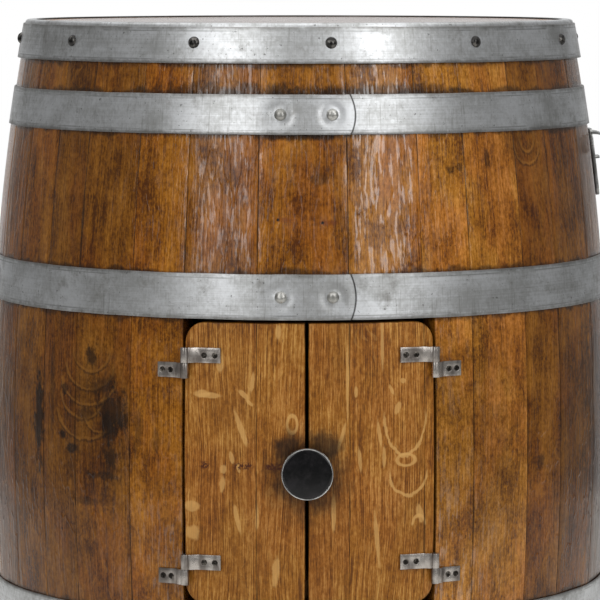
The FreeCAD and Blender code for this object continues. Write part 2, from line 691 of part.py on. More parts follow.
def knob_face():
    seat = Vector(0, -knob_back() - KNOB_THICKNESS + KNOB_FACE_DEPTH, KNOB_HEIGHT)
    return rod(seat, Vector(0, -1, 0), KNOB_FACE_RADIUS - DRILL_CLEARANCE, KNOB_FACE_DEPTH)


# ---------------------------------------------------------------- bottle opener
def opener_place(shape):
    """Move a shape from the opener's own frame (X outward, Z up, top of the plate at 0) to the barrel."""
    lean = math.asin((OPENER_TOP - OPENER_HEIGHT / 2 - MIDDLE) / BEND_RADIUS)
    bulge = OPENER_HEIGHT ** 2 / (8 * BEND_RADIUS)
    seat = at(OPENER_AZIMUTH, wall_radius(OPENER_TOP) + bulge + SEAT_CLEARANCE, OPENER_TOP)
    tilt = FreeCAD.Rotation(Vector(0, 1, 0), -math.degrees(lean))
    turn = FreeCAD.Rotation(AXIS, OPENER_AZIMUTH - 90)
    shape.Placement = FreeCAD.Placement(seat, turn.multiply(tilt))
    return shape


def opener_screw_seats():
    return [Vector(OPENER_PLATE, side * OPENER_SCREW_SPACING / 2, -OPENER_SCREW_DROP) for side in (-1, 1)]


def opener_screws(clearance=0.0):
    """Two countersunk screws under the hood, with the plate's holes when given a clearance."""
    outward_x = Vector(1, 0, 0)
    screws = [countersunk_screw(seat, outward_x, clearance) for seat in opener_screw_seats()]
    return [opener_place(Part.makeCompound([screw])).Solids[0] for screw in screws]


def bottle_opener():
    """Back plate with a cap tooth, under a bent hood that is open below and at both sides."""
    half = OPENER_WIDTH / 2
    plate = Part.makeBox(OPENER_PLATE, OPENER_WIDTH, OPENER_HEIGHT, Vector(0, -half, -OPENER_HEIGHT))
    corners = [edge for edge in plate.Edges if abs(edge.tangentAt(0).x) > 0.9]
    plate = plate.makeFillet(OPENER_CORNER_RADIUS, corners)
    reach, drop = OPENER_HOOD_REACH, OPENER_HOOD_HEIGHT

    def quarter(outer_reach, outer_drop, top):
        corner = Vector(OPENER_PLATE / 2, -half, top)
        tip = Vector(outer_reach, -half, top - outer_drop)
        bow = Vector(OPENER_PLATE / 2 + (outer_reach - OPENER_PLATE / 2) * math.sqrt(0.5), -half,
                     top - outer_drop * (1 - math.sqrt(0.5)))
        return Part.Arc(corner, bow, tip).toShape(), corner, tip

    outer, outer_start, outer_tip = quarter(reach, drop, -OPENER_PLATE)
    inner, inner_start, inner_tip = quarter(reach - OPENER_PLATE, drop - OPENER_PLATE, -2 * OPENER_PLATE)
    wire = Part.Wire([outer, line(outer_tip, inner_tip), inner, line(inner_start, outer_start)])
    hood = Part.Face(wire).extrude(Vector(0, OPENER_WIDTH, 0))
    tooth_low = -OPENER_HOOD_HEIGHT - OPENER_TOOTH_GAP - OPENER_PLATE
    tooth = Part.makeBox(OPENER_TOOTH_REACH, OPENER_TOOTH_WIDTH, OPENER_PLATE,
                         Vector(OPENER_PLATE / 2, -OPENER_TOOTH_WIDTH / 2, tooth_low))
    body = plate.fuse([hood, tooth]).removeSplitter()
    holes = [countersunk_screw(seat, Vector(1, 0, 0), DRILL_CLEARANCE) for seat in opener_screw_seats()]
    return opener_place(body.cut(holes))


# ---------------------------------------------------------------- writing the parts
def save(name, shape):
    solids = shape if isinstance(shape, list) else shape.Solids
    result = solids[0] if len(solids) == 1 else Part.makeCompound(solids)
    for solid in result.Solids:
        assert solid.isValid() and solid.Volume > 0, name
    result.exportStep(f"parts/{name}.step")
    print(f"{name:30s} solids {len(result.Solids):3d}  volume {result.Volume / 1000:10.1f} cm3")


def main():
    os.makedirs("parts", exist_ok=True)
    hinges = {"left": (HINGE_LEFT, 1), "right": (HINGE_RIGHT, -1)}

    frame_screw_holes = [hole for hinge, side in hinges.values()
                         for hole in hinge_screws(hinge, -side, False, DRILL_CLEARANCE)]
    opener_holes = opener_screws(DRILL_CLEARANCE)
    holes = nail_holes()
    wall_tools = holes + [flip(hole) for hole in holes] + frame_screw_holes + opener_holes

    whole, above, below = staves(wall_tools)
    for number, solid in enumerate(whole, 1):
        save(f"stave_{number:02d}", solid)
    save("short_staves_above_doors", above)
    save("short_staves_below_doors", below)

    save("bar_top", bar_top())
    save("top_head", head(TOP_HEAD_BOTTOM, TOP_HEAD_TOP))
    save("bottom_head", head(BOTTOM_HEAD_BOTTOM, BOTTOM_HEAD_TOP))
    save("floor_boards", cabinet_floor())
    save("floor_ledgers", ledgers())
    save("door_magnets", magnets())

    riveted = rivets()
    hoop_tools = holes + riveted
    for name, low, high, azimuth, face in upper_hoops():
        band = hoop(low, high, azimuth, face, hoop_tools)
        save(f"top_{name}", band)
        save(f"bottom_{name}", flip(band))
    save("hoop_rivets", riveted + [flip(piece) for piece in riveted])
    nailed = nails()
    save("hoop_nails", nailed + [flip(piece) for piece in nailed])

    frame_leaves, frame_pins, frame_screws = [], [], opener_screws()
    knob_hole = knob_body(DRILL_CLEARANCE)
    door_names = {"left": ["left_door_outer_stave", "left_door_inner_stave"],
                  "right": ["right_door_inner_stave", "right_door_outer_stave", "right_door_edge_strip"]}
    for which, (hinge, side) in hinges.items():
        tools = hinge_screws(hinge, side, True, DRILL_CLEARANCE)
        tools += [strike(which, DRILL_CLEARANCE), knob_hole]
        leaves = [hinge_leaf(hinge, side, True, height) for height in HINGE_HEIGHTS]
        for name, piece in zip(door_names[which], door_staves(which, tools)):
            save(name, piece)
        save(f"{which}_door_battens", [drill(piece, tools) for piece in battens(which)])
        save(f"{which}_door_hinge_leaves", leaves)
        save(f"{which}_door_hinge_screws", hinge_screws(hinge, side, True))
        save(f"{which}_door_strike", strike(which))
        frame_leaves += [hinge_leaf(hinge, -side, False, height) for height in HINGE_HEIGHTS]
        frame_pins += [hinge_pin(hinge, height) for height in HINGE_HEIGHTS]
        frame_screws += hinge_screws(hinge, -side, False)
    save("frame_hinge_leaves", frame_leaves)
    save("hinge_pins", frame_pins)
    save("frame_screws", frame_screws)

    save("knob_body", knob_body())
    save("knob_face", knob_face())
    save("bottle_opener", bottle_opener())

    print(f"hinge radius {hinge_radius():.2f}, door from {DOOR_BOTTOM:.1f} to {DOOR_TOP:.1f}, "
          f"floor top {FLOOR_TOP:.1f}, head undersides {TOP_HEAD_BOTTOM:.1f} {BOTTOM_HEAD_BOTTOM:.1f}")


main()
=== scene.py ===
# %% [markdown]
# # A wine barrel made into a bar cabinet
# The barrel is built of bent oak staves, held by six steel hoops. Two doors are sawn out of its own
# staves, and a lacquered bar top lies in its upper end. The construction comes in ready measured, so
# this lesson is about surfaces: soft edges, hammered steel, grain, varnish and wear.
# Lengths are metres. Azimuths are degrees from the front, growing to the right of somebody who faces
# the doors, and heights start at the ground.

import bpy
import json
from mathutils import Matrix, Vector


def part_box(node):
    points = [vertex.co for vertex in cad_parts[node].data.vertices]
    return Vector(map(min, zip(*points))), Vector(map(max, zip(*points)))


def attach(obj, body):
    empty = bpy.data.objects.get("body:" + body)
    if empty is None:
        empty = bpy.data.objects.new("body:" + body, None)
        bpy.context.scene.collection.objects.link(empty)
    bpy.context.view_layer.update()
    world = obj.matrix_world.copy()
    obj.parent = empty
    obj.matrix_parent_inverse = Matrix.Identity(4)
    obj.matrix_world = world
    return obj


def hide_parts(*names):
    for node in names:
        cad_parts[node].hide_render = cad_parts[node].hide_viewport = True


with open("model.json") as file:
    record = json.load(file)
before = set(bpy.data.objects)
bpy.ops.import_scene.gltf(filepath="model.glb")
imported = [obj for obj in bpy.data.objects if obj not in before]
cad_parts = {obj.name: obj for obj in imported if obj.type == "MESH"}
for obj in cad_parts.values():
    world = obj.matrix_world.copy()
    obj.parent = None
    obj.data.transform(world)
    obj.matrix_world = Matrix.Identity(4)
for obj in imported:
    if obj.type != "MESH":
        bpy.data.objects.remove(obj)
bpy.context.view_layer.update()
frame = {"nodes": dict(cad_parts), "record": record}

# %% [markdown]
# ## The libraries
# Bpy holds the scene and bmesh edits meshes. Numpy works on whole lists of points at once, and the
# noise of mathutils gives the same answer every time, which keeps hammer marks where they are.

# %% Bring in the libraries
import json
import math

import bmesh
import bpy
import numpy as np
from mathutils import Matrix, Vector, noise

MM = 0.001
scene = bpy.context.scene
scene.view_settings.view_transform = "Standard"
print("numpy", np.__version__, "and Blender", bpy.app.version_string)

# %% [markdown]
# ## Where we stand
# The barrel is looked at from just above its rim and from far away, so its hoops are flat curves and
# its sides hardly narrow. A long lens does the same here. The lens follows from how many picture
# points a metre takes up, and the picture is square.

# %% Set up the camera
EYE_DISTANCE = 3.970
EYE_HEIGHT = 0.9466
EYE_AZIMUTH = -1.32
EYE_TURN = -0.0125
EYE_PITCH = -5.202
PICTURE_SIDE = 600
FOCAL_POINTS = 3668

camera_data = bpy.data.cameras.new("camera")
camera_data.sensor_width = 36
camera_data.lens = camera_data.sensor_width * FOCAL_POINTS / PICTURE_SIDE
camera_data.clip_end = 60
camera = bpy.data.objects.new("camera", camera_data)
eye = math.radians(EYE_AZIMUTH)
camera.location = (EYE_DISTANCE * math.sin(eye), -EYE_DISTANCE * math.cos(eye), EYE_HEIGHT)
camera.rotation_euler = (math.radians(90 + EYE_PITCH), 0, math.radians(EYE_AZIMUTH + EYE_TURN))
scene.collection.objects.link(camera)
scene.camera = camera
print("camera lens", round(camera_data.lens, 1), "mm")

# %% [markdown]
# ## Shader sums in plain Python
# A finish is a sum of masks, and long sums are hard to read as boxes and cables. A small class wraps
# the output of a node, so that `1 - mask * 0.5` adds its own nodes. Numbers go through Math nodes,
# vectors through Vector Math. Every other node comes from one method of the bench, which sets the
# node up first and then fills its sockets.

# %% A socket that adds up, and the bench it is made on
class Wire:
    """The output of a node, ready to be used in a sum."""

    def __init__(self, bench, socket):
        self.bench = bench
        self.socket = socket

    def calculate(self, operation, first, second):
        pair = [first, second]
        wide = any(isinstance(part, tuple) for part in pair)
        wide = wide or any(isinstance(part, Wire) and part.socket.type == "VECTOR" for part in pair)
        kind = "ShaderNodeVectorMath" if wide else "ShaderNodeMath"
        return self.bench.node(kind, {"operation": operation}, {0: first, 1: second})

    def __add__(self, other):
        return self.calculate("ADD", self, other)

    def __radd__(self, other):
        return self.calculate("ADD", other, self)

    def __sub__(self, other):
        return self.calculate("SUBTRACT", self, other)

    def __rsub__(self, other):
        return self.calculate("SUBTRACT", other, self)

    def __mul__(self, other):
        return self.calculate("MULTIPLY", self, other)

    def __rmul__(self, other):
        return self.calculate("MULTIPLY", other, self)


class Bench:
    """The node tree of one finish, where all its nodes are made."""

    def __init__(self, tree):
        self.tree = tree
        tree.nodes.clear()

    def node(self, kind, settings, inputs, output=0):
        made = self.tree.nodes.new(kind)
        for name, value in settings.items():
            if name == "stops":
                self.set_stops(made.color_ramp, value)
            else:
                setattr(made, name, value)
        for name, value in inputs.items():
            if isinstance(value, Wire):
                self.tree.links.new(value.socket, made.inputs[name])
            else:
                made.inputs[name].default_value = value
        return Wire(self, made.outputs[output] if made.outputs else None)

    @staticmethod
    def set_stops(ramp, stops):
        while len(ramp.elements) < len(stops):
            ramp.elements.new(0.5)
        for element, (place, colour) in zip(ramp.elements, stops):
            element.position = place
            element.color = colour


def paint(red, green, blue):
    """A colour as it is read on a colour chart, 0 to 255, turned into the linear one that shaders use."""
    parts = [value / 255 for value in (red, green, blue)]
    return tuple(v / 12.92 if v <= 0.04045 else ((v + 0.055) / 1.055) ** 2.4 for v in parts) + (1.0,)


print("white on the chart is", paint(255, 255, 255))

# %% [markdown]
# ## The words that every finish uses
# Noise that is stretched one way gives streaks, a smooth step turns it into a mask, and colours are
# laid over each other with a mask between them, as a finisher lays stain over bare wood.

# %% Helpers for masks and colours
def cloud(vector, detail=2.0, rough=0.5):
    """Soft noise from 0 to 1 at a place."""
    return vector.bench.node("ShaderNodeTexNoise", {"noise_dimensions": "3D"},
                             {"Vector": vector, "Scale": 1.0, "Detail": detail, "Roughness": rough})


def step(value, low, high):
    """0 below `low`, 1 above `high`, smooth between them; it runs down where low is the larger."""
    flip = low > high
    return value.bench.node("ShaderNodeMapRange", {"interpolation_type": "SMOOTHSTEP"},
                            {"Value": value, "From Min": min(low, high), "From Max": max(low, high),
                             "To Min": 1.0 if flip else 0.0, "To Max": 0.0 if flip else 1.0})


def laid_over(under, over, mask, blend="MIX"):
    """Colour `over` on colour `under` where the mask is 1."""
    bench = next(part.bench for part in (mask, under, over) if isinstance(part, Wire))
    return bench.node("ShaderNodeMix", {"data_type": "RGBA", "blend_type": blend},
                      {0: mask, 6: under, 7: over}, 2)


def brightened(colour, factor):
    return colour.bench.node("ShaderNodeVectorMath", {"operation": "SCALE"}, {0: colour, "Scale": factor})


def parts_of(vector):
    return [vector.bench.node("ShaderNodeSeparateXYZ", {}, {0: vector}, axis) for axis in range(3)]


def absolute(value):
    return value.bench.node("ShaderNodeMath", {"operation": "ABSOLUTE"}, {0: value})


def smaller(first, second):
    return first.bench.node("ShaderNodeMath", {"operation": "MINIMUM"}, {0: first, 1: second})


def size_of(vector):
    return vector.bench.node("ShaderNodeVectorMath", {"operation": "LENGTH"}, {0: vector}, "Value")


def read(bench, name, output="Vector"):
    """What the mesh has stored for each of its points under a name."""
    return bench.node("ShaderNodeAttribute", {"attribute_name": name}, {}, output)


def shifted(bench, vector, across):
    return vector + bench.node("ShaderNodeCombineXYZ", {}, {"X": across})


def raised(height, distance, normal=None):
    """A bump of so many metres that follows the height."""
    sockets = {"Height": height, "Distance": distance, "Strength": 1.0}
    if normal:
        sockets["Normal"] = normal
    return height.bench.node("ShaderNodeBump", {}, sockets)


def new_finish(name):
    material = bpy.data.materials.new(name)
    material.use_nodes = True
    return material, Bench(material.node_tree)


def surfaced(bench, **sockets):
    """End a finish with a Principled shader; names are its sockets with _ for a space."""
    named = {name.replace("_", " "): value for name, value in sockets.items()}
    shader = bench.node("ShaderNodeBsdfPrincipled", {}, named)
    bench.node("ShaderNodeOutputMaterial", {}, {"Surface": shader})


print("mask and colour helpers ready")

# %% [markdown]
# ## Light
# The barrel stands between two tall soft boxes, one on each side of the viewer. They draw a bright stripe
# down each side of the middle, on the hoops and on the varnish. The boxes are area lamps, which keep the
# same size for every surface, and the camera doesn't see them.

# %% Two soft boxes
AIM_HEIGHT = 0.62
BOX_DISTANCE = 2.3
BOX_HEIGHT = 1.62
BOX_WIDE = 0.85
BOX_TALL = 1.8


def soft_box(name, azimuth, power):
    data = bpy.data.lights.new(name, "AREA")
    data.shape = "RECTANGLE"
    data.size = BOX_WIDE
    data.size_y = BOX_TALL
    data.energy = power
    lamp = bpy.data.objects.new(name, data)
    angle = math.radians(azimuth)
    lamp.location = (BOX_DISTANCE * math.sin(angle), -BOX_DISTANCE * math.cos(angle), BOX_HEIGHT)
    aim = Vector((0, 0, AIM_HEIGHT)) - lamp.location
    lamp.rotation_euler = aim.to_track_quat("-Z", "Y").to_euler()
    lamp.visible_camera = False
    scene.collection.objects.link(lamp)


soft_box("soft_box_left", azimuth=-27, power=11)
soft_box("soft_box_right", azimuth=29, power=12)

# %% [markdown]
# ## Studio
# Steel shows the room it stands in: dark sides and front, a pale ceiling, and a white wall behind, which
# brightens the last few degrees of every hoop. The world draws all of it, because it knows the direction
# of a ray. Diffuse rays get a plain level from all round and a brighter one from overhead, so the white
# wall adds no light to the wood. The camera sees plain white.

# %% Studio and floor
ROOM_LIGHT = 0.45
ROOM_TOP = 0.65
STUDIO_SIDES = 0.28
STUDIO_FRONT = 0.25
STUDIO_TOP = 1.0
WALL_BEHIND = 0.85
CEILING_LOW, CEILING_RISE = 0.75, 0.5       # share of the walls' light at eye level, and what a ceiling adds
world = bpy.data.worlds.new("studio")
world.use_nodes = True
scene.world = world
sky = Bench(world.node_tree)
_, backwards, upwards = parts_of(sky.node("ShaderNodeTexCoord", {}, {}, "Generated"))
behind = step(backwards, 0.78, 1.06) * WALL_BEHIND
in_front = step(backwards, 0.35, -0.75)
walls = STUDIO_SIDES + in_front * (STUDIO_FRONT - STUDIO_SIDES)
ceiling = CEILING_LOW + step(upwards, 0.0, 0.55) * CEILING_RISE
overhead = step(upwards, 0.55, 0.85) * STUDIO_TOP
studio = walls * ceiling * (1 - behind) + behind + overhead
seen, glossy, through = [sky.node("ShaderNodeLightPath", {}, {}, name)
                         for name in ("Is Camera Ray", "Is Glossy Ray", "Is Transmission Ray")]
mirrored = glossy + through
level = ROOM_LIGHT + step(upwards, 0.45, 0.85) * ROOM_TOP
strength = seen + mirrored * studio + (1 - seen - mirrored) * level
backdrop = sky.node("ShaderNodeBackground", {}, {"Color": (1, 1, 1, 1), "Strength": strength})
sky.node("ShaderNodeOutputWorld", {}, {"Surface": backdrop})

FLOOR_REACH = 2.6
bpy.ops.mesh.primitive_circle_add(vertices=96, radius=FLOOR_REACH, fill_type="NGON")
ground = bpy.context.object
ground.name = "studio_floor"
pale, pale_bench = new_finish("pale_floor")
surfaced(pale_bench, Base_Color=paint(226, 225, 222), Roughness=0.75)
ground.data.materials.append(pale)
print("floor", 2 * FLOOR_REACH, "m across")

# %% [markdown]
# ## The shape of the wall
# A cooper bends every stave to the same arc, so the whole wall is one arc turned round the axis. The
# height, the width at the middle and the width at the ends fix that arc, and every piece on the wall is
# placed by an azimuth, a height and how far it stands proud of the wood.

# %% The bent wall
STAVE_THICKNESS = 27 * MM
BILGE_RADIUS = 335 * MM
END_RADIUS = 293 * MM
wood_low, wood_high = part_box("stave_12")[0].z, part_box("stave_12")[1].z
middle = (wood_low + wood_high) / 2
overall_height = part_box("top_head_hoop")[1].z
bow = BILGE_RADIUS - END_RADIUS
bend_radius = (((wood_high - wood_low) / 2) ** 2 + bow ** 2) / (2 * bow)
bend_centre = BILGE_RADIUS - bend_radius


def wall_radius(height, proud=0.0):
    """Distance from the axis of a point at a height, standing proud of the wood."""
    return bend_centre + np.sqrt((bend_radius + proud) ** 2 - (np.asarray(height) - middle) ** 2)


def around(azimuth, radius, height):
    """Points from azimuths in degrees, distances from the axis and heights."""
    angle = np.radians(azimuth)
    return np.stack(np.broadcast_arrays(radius * np.sin(angle), -radius * np.cos(angle), height), -1)


def degrees_of(length, radius=BILGE_RADIUS):
    return math.degrees(length / radius)


def smooth(value, low, high):
    """The smooth step of the shaders, for numbers."""
    share = np.clip((np.asarray(value, float) - low) / (high - low), 0, 1)
    return share * share * (3 - 2 * share)


print("staves bend on a radius of", round(bend_radius, 3), "m")

# %% [markdown]
# ## From points to pieces
# Every rebuilt piece ends the same way: its mesh becomes an object, sharp folds are marked by their
# angle so that the rest shades round, it rides on the body that its node is on, and the node hides.

# %% Put a piece in place
SHARP_ANGLE = math.radians(38)
bodies_of = {node: body for body, nodes in frame["record"]["behaviour"]["bodies"].items() for node in nodes}


def place(name, mesh, material, slot, nodes):
    """Make an object of a mesh that stands for CAD nodes of one body."""
    mesh.polygons.foreach_set("use_smooth", [True] * len(mesh.polygons))
    mesh.set_sharp_from_angle(angle=SHARP_ANGLE)
    mesh.materials.append(material)
    piece = bpy.data.objects.new(name, mesh)
    scene.collection.objects.link(piece)
    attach(piece, bodies_of[nodes[0]])
    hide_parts(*nodes)
    return piece


def mesh_of(name, points, faces):
    mesh = bpy.data.meshes.new(name)
    mesh.from_pydata([tuple(p) for p in points], [], faces)
    mesh.validate()
    mesh.update()
    return mesh


def give(mesh, name, kind, values):
    """Store one value or vector for each point, for the shaders to read."""
    attribute = mesh.attributes.new(name, kind, "POINT")
    attribute.data.foreach_set("vector" if kind == "FLOAT_VECTOR" else "value",
                               np.asarray(values, np.float32).ravel())


print("doors ride on", bodies_of["left_door_battens"], "and", bodies_of["right_door_battens"])

# %% [markdown]
# ## Oak under varnish
# Split oak shows straight growth lines down each stave, short dark pores, and pale flecks where the
# rays of the tree come to the surface. Stain takes unevenly and turns reddish in patches, and the varnish
# ran while it was wet, which leaves short glossy dashes. The finish could be painted by hand, but a recipe
# of stretched noises follows every board. Each point of the mesh carries its own place on its board, so
# that no line runs on across a seam, and the tone of its board.

# %% The oak recipe
RUSSET = (0.95, 0.80, 0.90, 1.0)
PALED = (0.98, 1.10, 1.9)               # what turns the colour of a light board less orange
COAT_REACH = (0.24, 0.14)               # distances from the middle where the varnish runs fade


def figured(along, board):
    """Masks of the figure of oak: growth lines, fibres, bands, patches, grit and slow changes."""
    return [cloud(along * (860, 7, 40), detail=1),
            cloud(along * (900, 60, 300), detail=3, rough=0.7),
            cloud(along * (120, 4, 30), detail=3, rough=0.6),
            cloud(board * (30, 17, 20), detail=6, rough=0.68),
            cloud(board * (330, 210, 200), detail=3, rough=0.7),
            cloud(board * (13, 5, 9), detail=3)]


def varnish_runs(bench, along, patches, tone):
    """Dashes of thicker varnish, mostly on the front of the barrel."""
    runs = step(cloud(along * (330, 42, 60), detail=2), 0.53, 0.59) * step(patches, 0.40, 0.48)
    front = 0.2 + step(absolute(parts_of(read(bench, "place"))[0]), *COAT_REACH) * 0.8
    return runs * front * (0.75 + step(tone, 0.4, 2.4) * 0.45)


def oak(name, shades, flecks=0.3, gloss=0.30, fibre=1.0, mottle=1.0, marks=None, ripple=1.0, specular=0.35,
        varnish=0.0):
    """Varnished oak from three shades, with pale flecks, a recipe for extra marks and runs of varnish."""
    material, bench = new_finish(name)
    board = read(bench, "board")
    tone = read(bench, "tone", "Fac")
    drift = cloud(board * (9, 2.5, 6), detail=2)
    along = shifted(bench, board, (drift - 0.5) * 0.04)
    lines, fibres, bands, patches, grit, broad = figured(along, board)

    dark, body, light = shades
    straight = (lines - 0.5) * 0.26 + (fibres - 0.5) * 0.30
    clouded = (patches - 0.5) * 0.62 + (grit - 0.5) * 0.42
    level = straight * fibre + clouded * mottle + (bands - 0.5) * 0.20 + 0.5
    stops = [(0.36, dark), (0.50, body), (0.66, light)]
    colour = bench.node("ShaderNodeValToRGB", {"stops": stops}, {0: level})
    blush = step(cloud(board * (16, 7, 12), detail=5, rough=0.62), 0.44, 0.60)
    colour = laid_over(colour, RUSSET, blush * 0.8 * mottle, "MULTIPLY")
    colour = laid_over(colour, colour * PALED, step(tone, 0.4, 2.4))
    colour = brightened(colour, 0.78 + broad * 0.44 + tone * 0.30)
    dashes = step(cloud(along * (700, 90, 300), detail=2), 0.62, 0.70)
    colour = laid_over(colour, dark, dashes * 0.5)
    specks = step(cloud(board * (420, 260, 200), detail=3, rough=0.7), 0.58, 0.66)
    colour = laid_over(colour, dark, specks * step(patches, 0.50, 0.38) * 0.85 * mottle)
    sway = cloud(board * (13, 10, 4), detail=2)
    swayed = shifted(bench, board, (sway - 0.5) * 0.11)
    field = step(cloud(swayed * (230, 52, 12), detail=2), 0.62, 0.66)
    colour = laid_over(colour, light, field * step(cloud(board * (15, 9, 5)), 0.46, 0.56) * flecks)
    if marks:
        colour = marks(bench, colour)

    wave = cloud(board * (62, 9, 10), detail=2)
    winding = cloud(along * (58, 15, 10), detail=2)
    ridge = step(absolute(winding - 0.5), 0.030, 0.0)
    furrows = cloud(along * (400, 30, 60), detail=1)
    height = lines * 0.09 + fibres * 0.06 - dashes * 0.05 + (ridge * 0.18 + furrows * 0.30) * ripple
    normal = raised(height, 1.0 * MM, raised(wave, 0.8 * MM * ripple))
    rough = gloss + (0.5 - broad) * 0.12 + (fibres - 0.5) * 0.15
    sockets = {"Base_Color": colour, "Roughness": rough, "Normal": normal, "Specular_IOR_Level": specular}
    if varnish:
        coat = varnish_runs(bench, along, patches, tone) * varnish
        sockets |= {"Coat_Weight": coat, "Coat_Roughness": 0.14, "Coat_IOR": 1.8}
    surfaced(bench, **sockets)
    return material


print("oak recipe ready")

# %% [markdown]
# ## Marks at their own places
# Some marks belong to one spot of the barrel: a stain from a drip, the rings round a knot, a ray figure.
# Each point of the wall also carries its place on the unrolled wall, so a mark is an ellipse at an azimuth
# and a height, filled or as a ring, whose edge a noise makes ragged.

# %% Spots and rings on the wall
FIGURE_LINE = 2.4 * MM


def offset_from(where, azimuth, height):
    return where - (math.radians(azimuth) * BILGE_RADIUS, height, 0)


def spot(where, edge, azimuth, height, wide, tall, soft=0.4, lean=0.0):
    """A patch on the wall, 1 in its middle and as ragged as its edge noise; it may lean to one side."""
    offset = offset_from(where, azimuth, height)
    if lean:
        offset = shifted(where.bench, offset, parts_of(offset)[1] * lean)
    return step(size_of(offset * (2 / wide, 2 / tall, 0)) + edge, 0.8 + soft, 0.8 - soft)


def outline(where, edge, azimuth, height, wide, tall, opening=0):
    """A ragged ring on the wall; it is open at its top for opening 1 and at its bottom for -1."""
    offset = offset_from(where, azimuth, height) * (2 / wide, 2 / tall, 0)
    thick = FIGURE_LINE / min(wide, tall)
    band = step(absolute(size_of(offset) + edge - 1), 1.5 * thick, 0.5 * thick)
    if not opening:
        return band
    return band * step(parts_of(offset)[1] * opening, 0.15, -0.20)


def spotted(colour, mark_colour, where, edge, marks, soft=0.4):
    """Lay spots on a colour; each mark is azimuth, height, width, height in metres, and depth."""
    for azimuth, height, wide, tall, depth in marks:
        colour = laid_over(colour, mark_colour, spot(where, edge, azimuth, height, wide, tall, soft) * depth)
    return colour


print("marks are drawn with lines of", FIGURE_LINE / MM, "mm")

# %% [markdown]
# ## Stains on the staves
# Wine, water and iron leave black stains, dirt gathers along hoops and seams, and two small holes remain
# where a tap sat; the holes are painted as black spots of shade. A painted shade also darkens the wood along
# the hoops' edges and under the upper quarter hoop. All of it is listed by place, so a stain can be moved
# without touching the recipe.

# %% Stains, knots, dirt and painted shade
# Black for stains and dirt, and for painted shade along the hoops and below the knot lines.
black_stain_and_shade = paint(26, 15, 6)
pale_growth = paint(158, 106, 40)
tap_rust = paint(110, 52, 14)
tap_hole_shade = paint(8, 5, 3)
# Azimuth, height, width and height of each stain in metres, and how dark it is.
# The stain at -1.0 degrees and 0.7775 m is a painted shadow under the upper quarter hoop.
STAINS_AND_SHADOW = [
    (-40.9, 0.552, 0.018, 0.024, 0.8), (-36.0, 0.496, 0.046, 0.058, 0.8), (-38.5, 0.522, 0.040, 0.022, 0.55),
    (-36.6, 0.478, 0.032, 0.034, 0.7), (-42.5, 0.492, 0.030, 0.016, 0.5), (-47.9, 0.468, 0.012, 0.018, 0.9),
    (-55.0, 0.484, 0.022, 0.120, 0.9), (-51.0, 0.520, 0.010, 0.130, 0.45), (-47.5, 0.515, 0.010, 0.016, 0.7),
    (-45.4, 0.455, 0.020, 0.012, 0.8), (-36.2, 0.450, 0.030, 0.026, 0.75), (-38.7, 0.430, 0.050, 0.010, 0.6),
    (-30.5, 0.478, 0.014, 0.050, 0.45), (-27.0, 0.470, 0.010, 0.030, 0.4), (-42.0, 0.402, 0.034, 0.010, 0.5),
    (-40.0, 0.480, 0.100, 0.190, 0.35), (-30.4, 0.586, 0.006, 0.022, 0.6), (46.7, 0.440, 0.014, 0.018, 0.6),
    (2.5, 0.735, 0.022, 0.014, 0.45), (-1.0, 0.7775, 0.110, 0.010, 0.75), (-16.0, 0.8205, 0.230, 0.022, 0.6),
    (12.0, 0.8205, 0.290, 0.020, 0.6), (27.5, 0.742, 0.012, 0.010, 0.55), (29.5, 0.744, 0.010, 0.008, 0.5),
    (36.0, 0.752, 0.008, 0.022, 0.6), (44.0, 0.770, 0.040, 0.060, 0.3), (78.0, 0.420, 0.080, 0.260, 0.4),
    (-66.0, 0.450, 0.170, 0.320, 0.25), (74.0, 0.450, 0.150, 0.340, 0.5), (30.0, 0.450, 0.160, 0.320, 0.25),
    (60.0, 0.450, 0.110, 0.300, 0.25)]
# Small holes where a tap sat once, painted as black spots of shade: azimuth and height.
PITS = [(-5.1, 0.6945), (2.85, 0.6915)]
PIT_WIDTH = 3.6 * MM
PIT_RUST = (22 * MM, 6 * MM)            # width and height of the rust round a hole
# Growth lines that bend round a knot: azimuth, height, width and height of each line, and its open side.
KNOT_LINES = [
    (-41.0, 0.5580, 0.050, 0.044, 1), (-41.5, 0.5435, 0.066, 0.052, 1), (-41.8, 0.5285, 0.076, 0.054, 1),
    (-43.0, 0.5130, 0.062, 0.052, 1), (-38.6, 0.5000, 0.050, 0.052, 1), (-42.4, 0.4940, 0.080, 0.056, 1),
    (47.0, 0.7720, 0.026, 0.030, 0), (47.0, 0.7700, 0.048, 0.050, 1)]
KNOT_SHADOW = 2.6 * MM                  # how far below each line its dark side lies
# Distances of the hoops' edges from the middle of the height, alike above and below.
HOOP_EDGES = [0.1499, 0.1956, 0.3343, 0.3741, 0.4045]
HOOP_DIRT_AND_SHADE = 5.0 * MM                    # how far the dirt and painted shade reach from a hoop, and how uneven that is
HOOP_DIRT_AND_SHADE_SWAY = 24 * MM
SEAM_DIRT = 0.9 * MM                    # the same for a seam
SEAM_DIRT_SWAY = 4 * MM


def seam_dirt(bench, colour):
    rim = read(bench, "rim", "Fac")
    uneven = (cloud(read(bench, "place") * (60, 14, 0), detail=2) - 0.5) * SEAM_DIRT_SWAY
    return laid_over(colour, black_stain_and_shade, step(rim + uneven, SEAM_DIRT, 0.0) * 0.6)


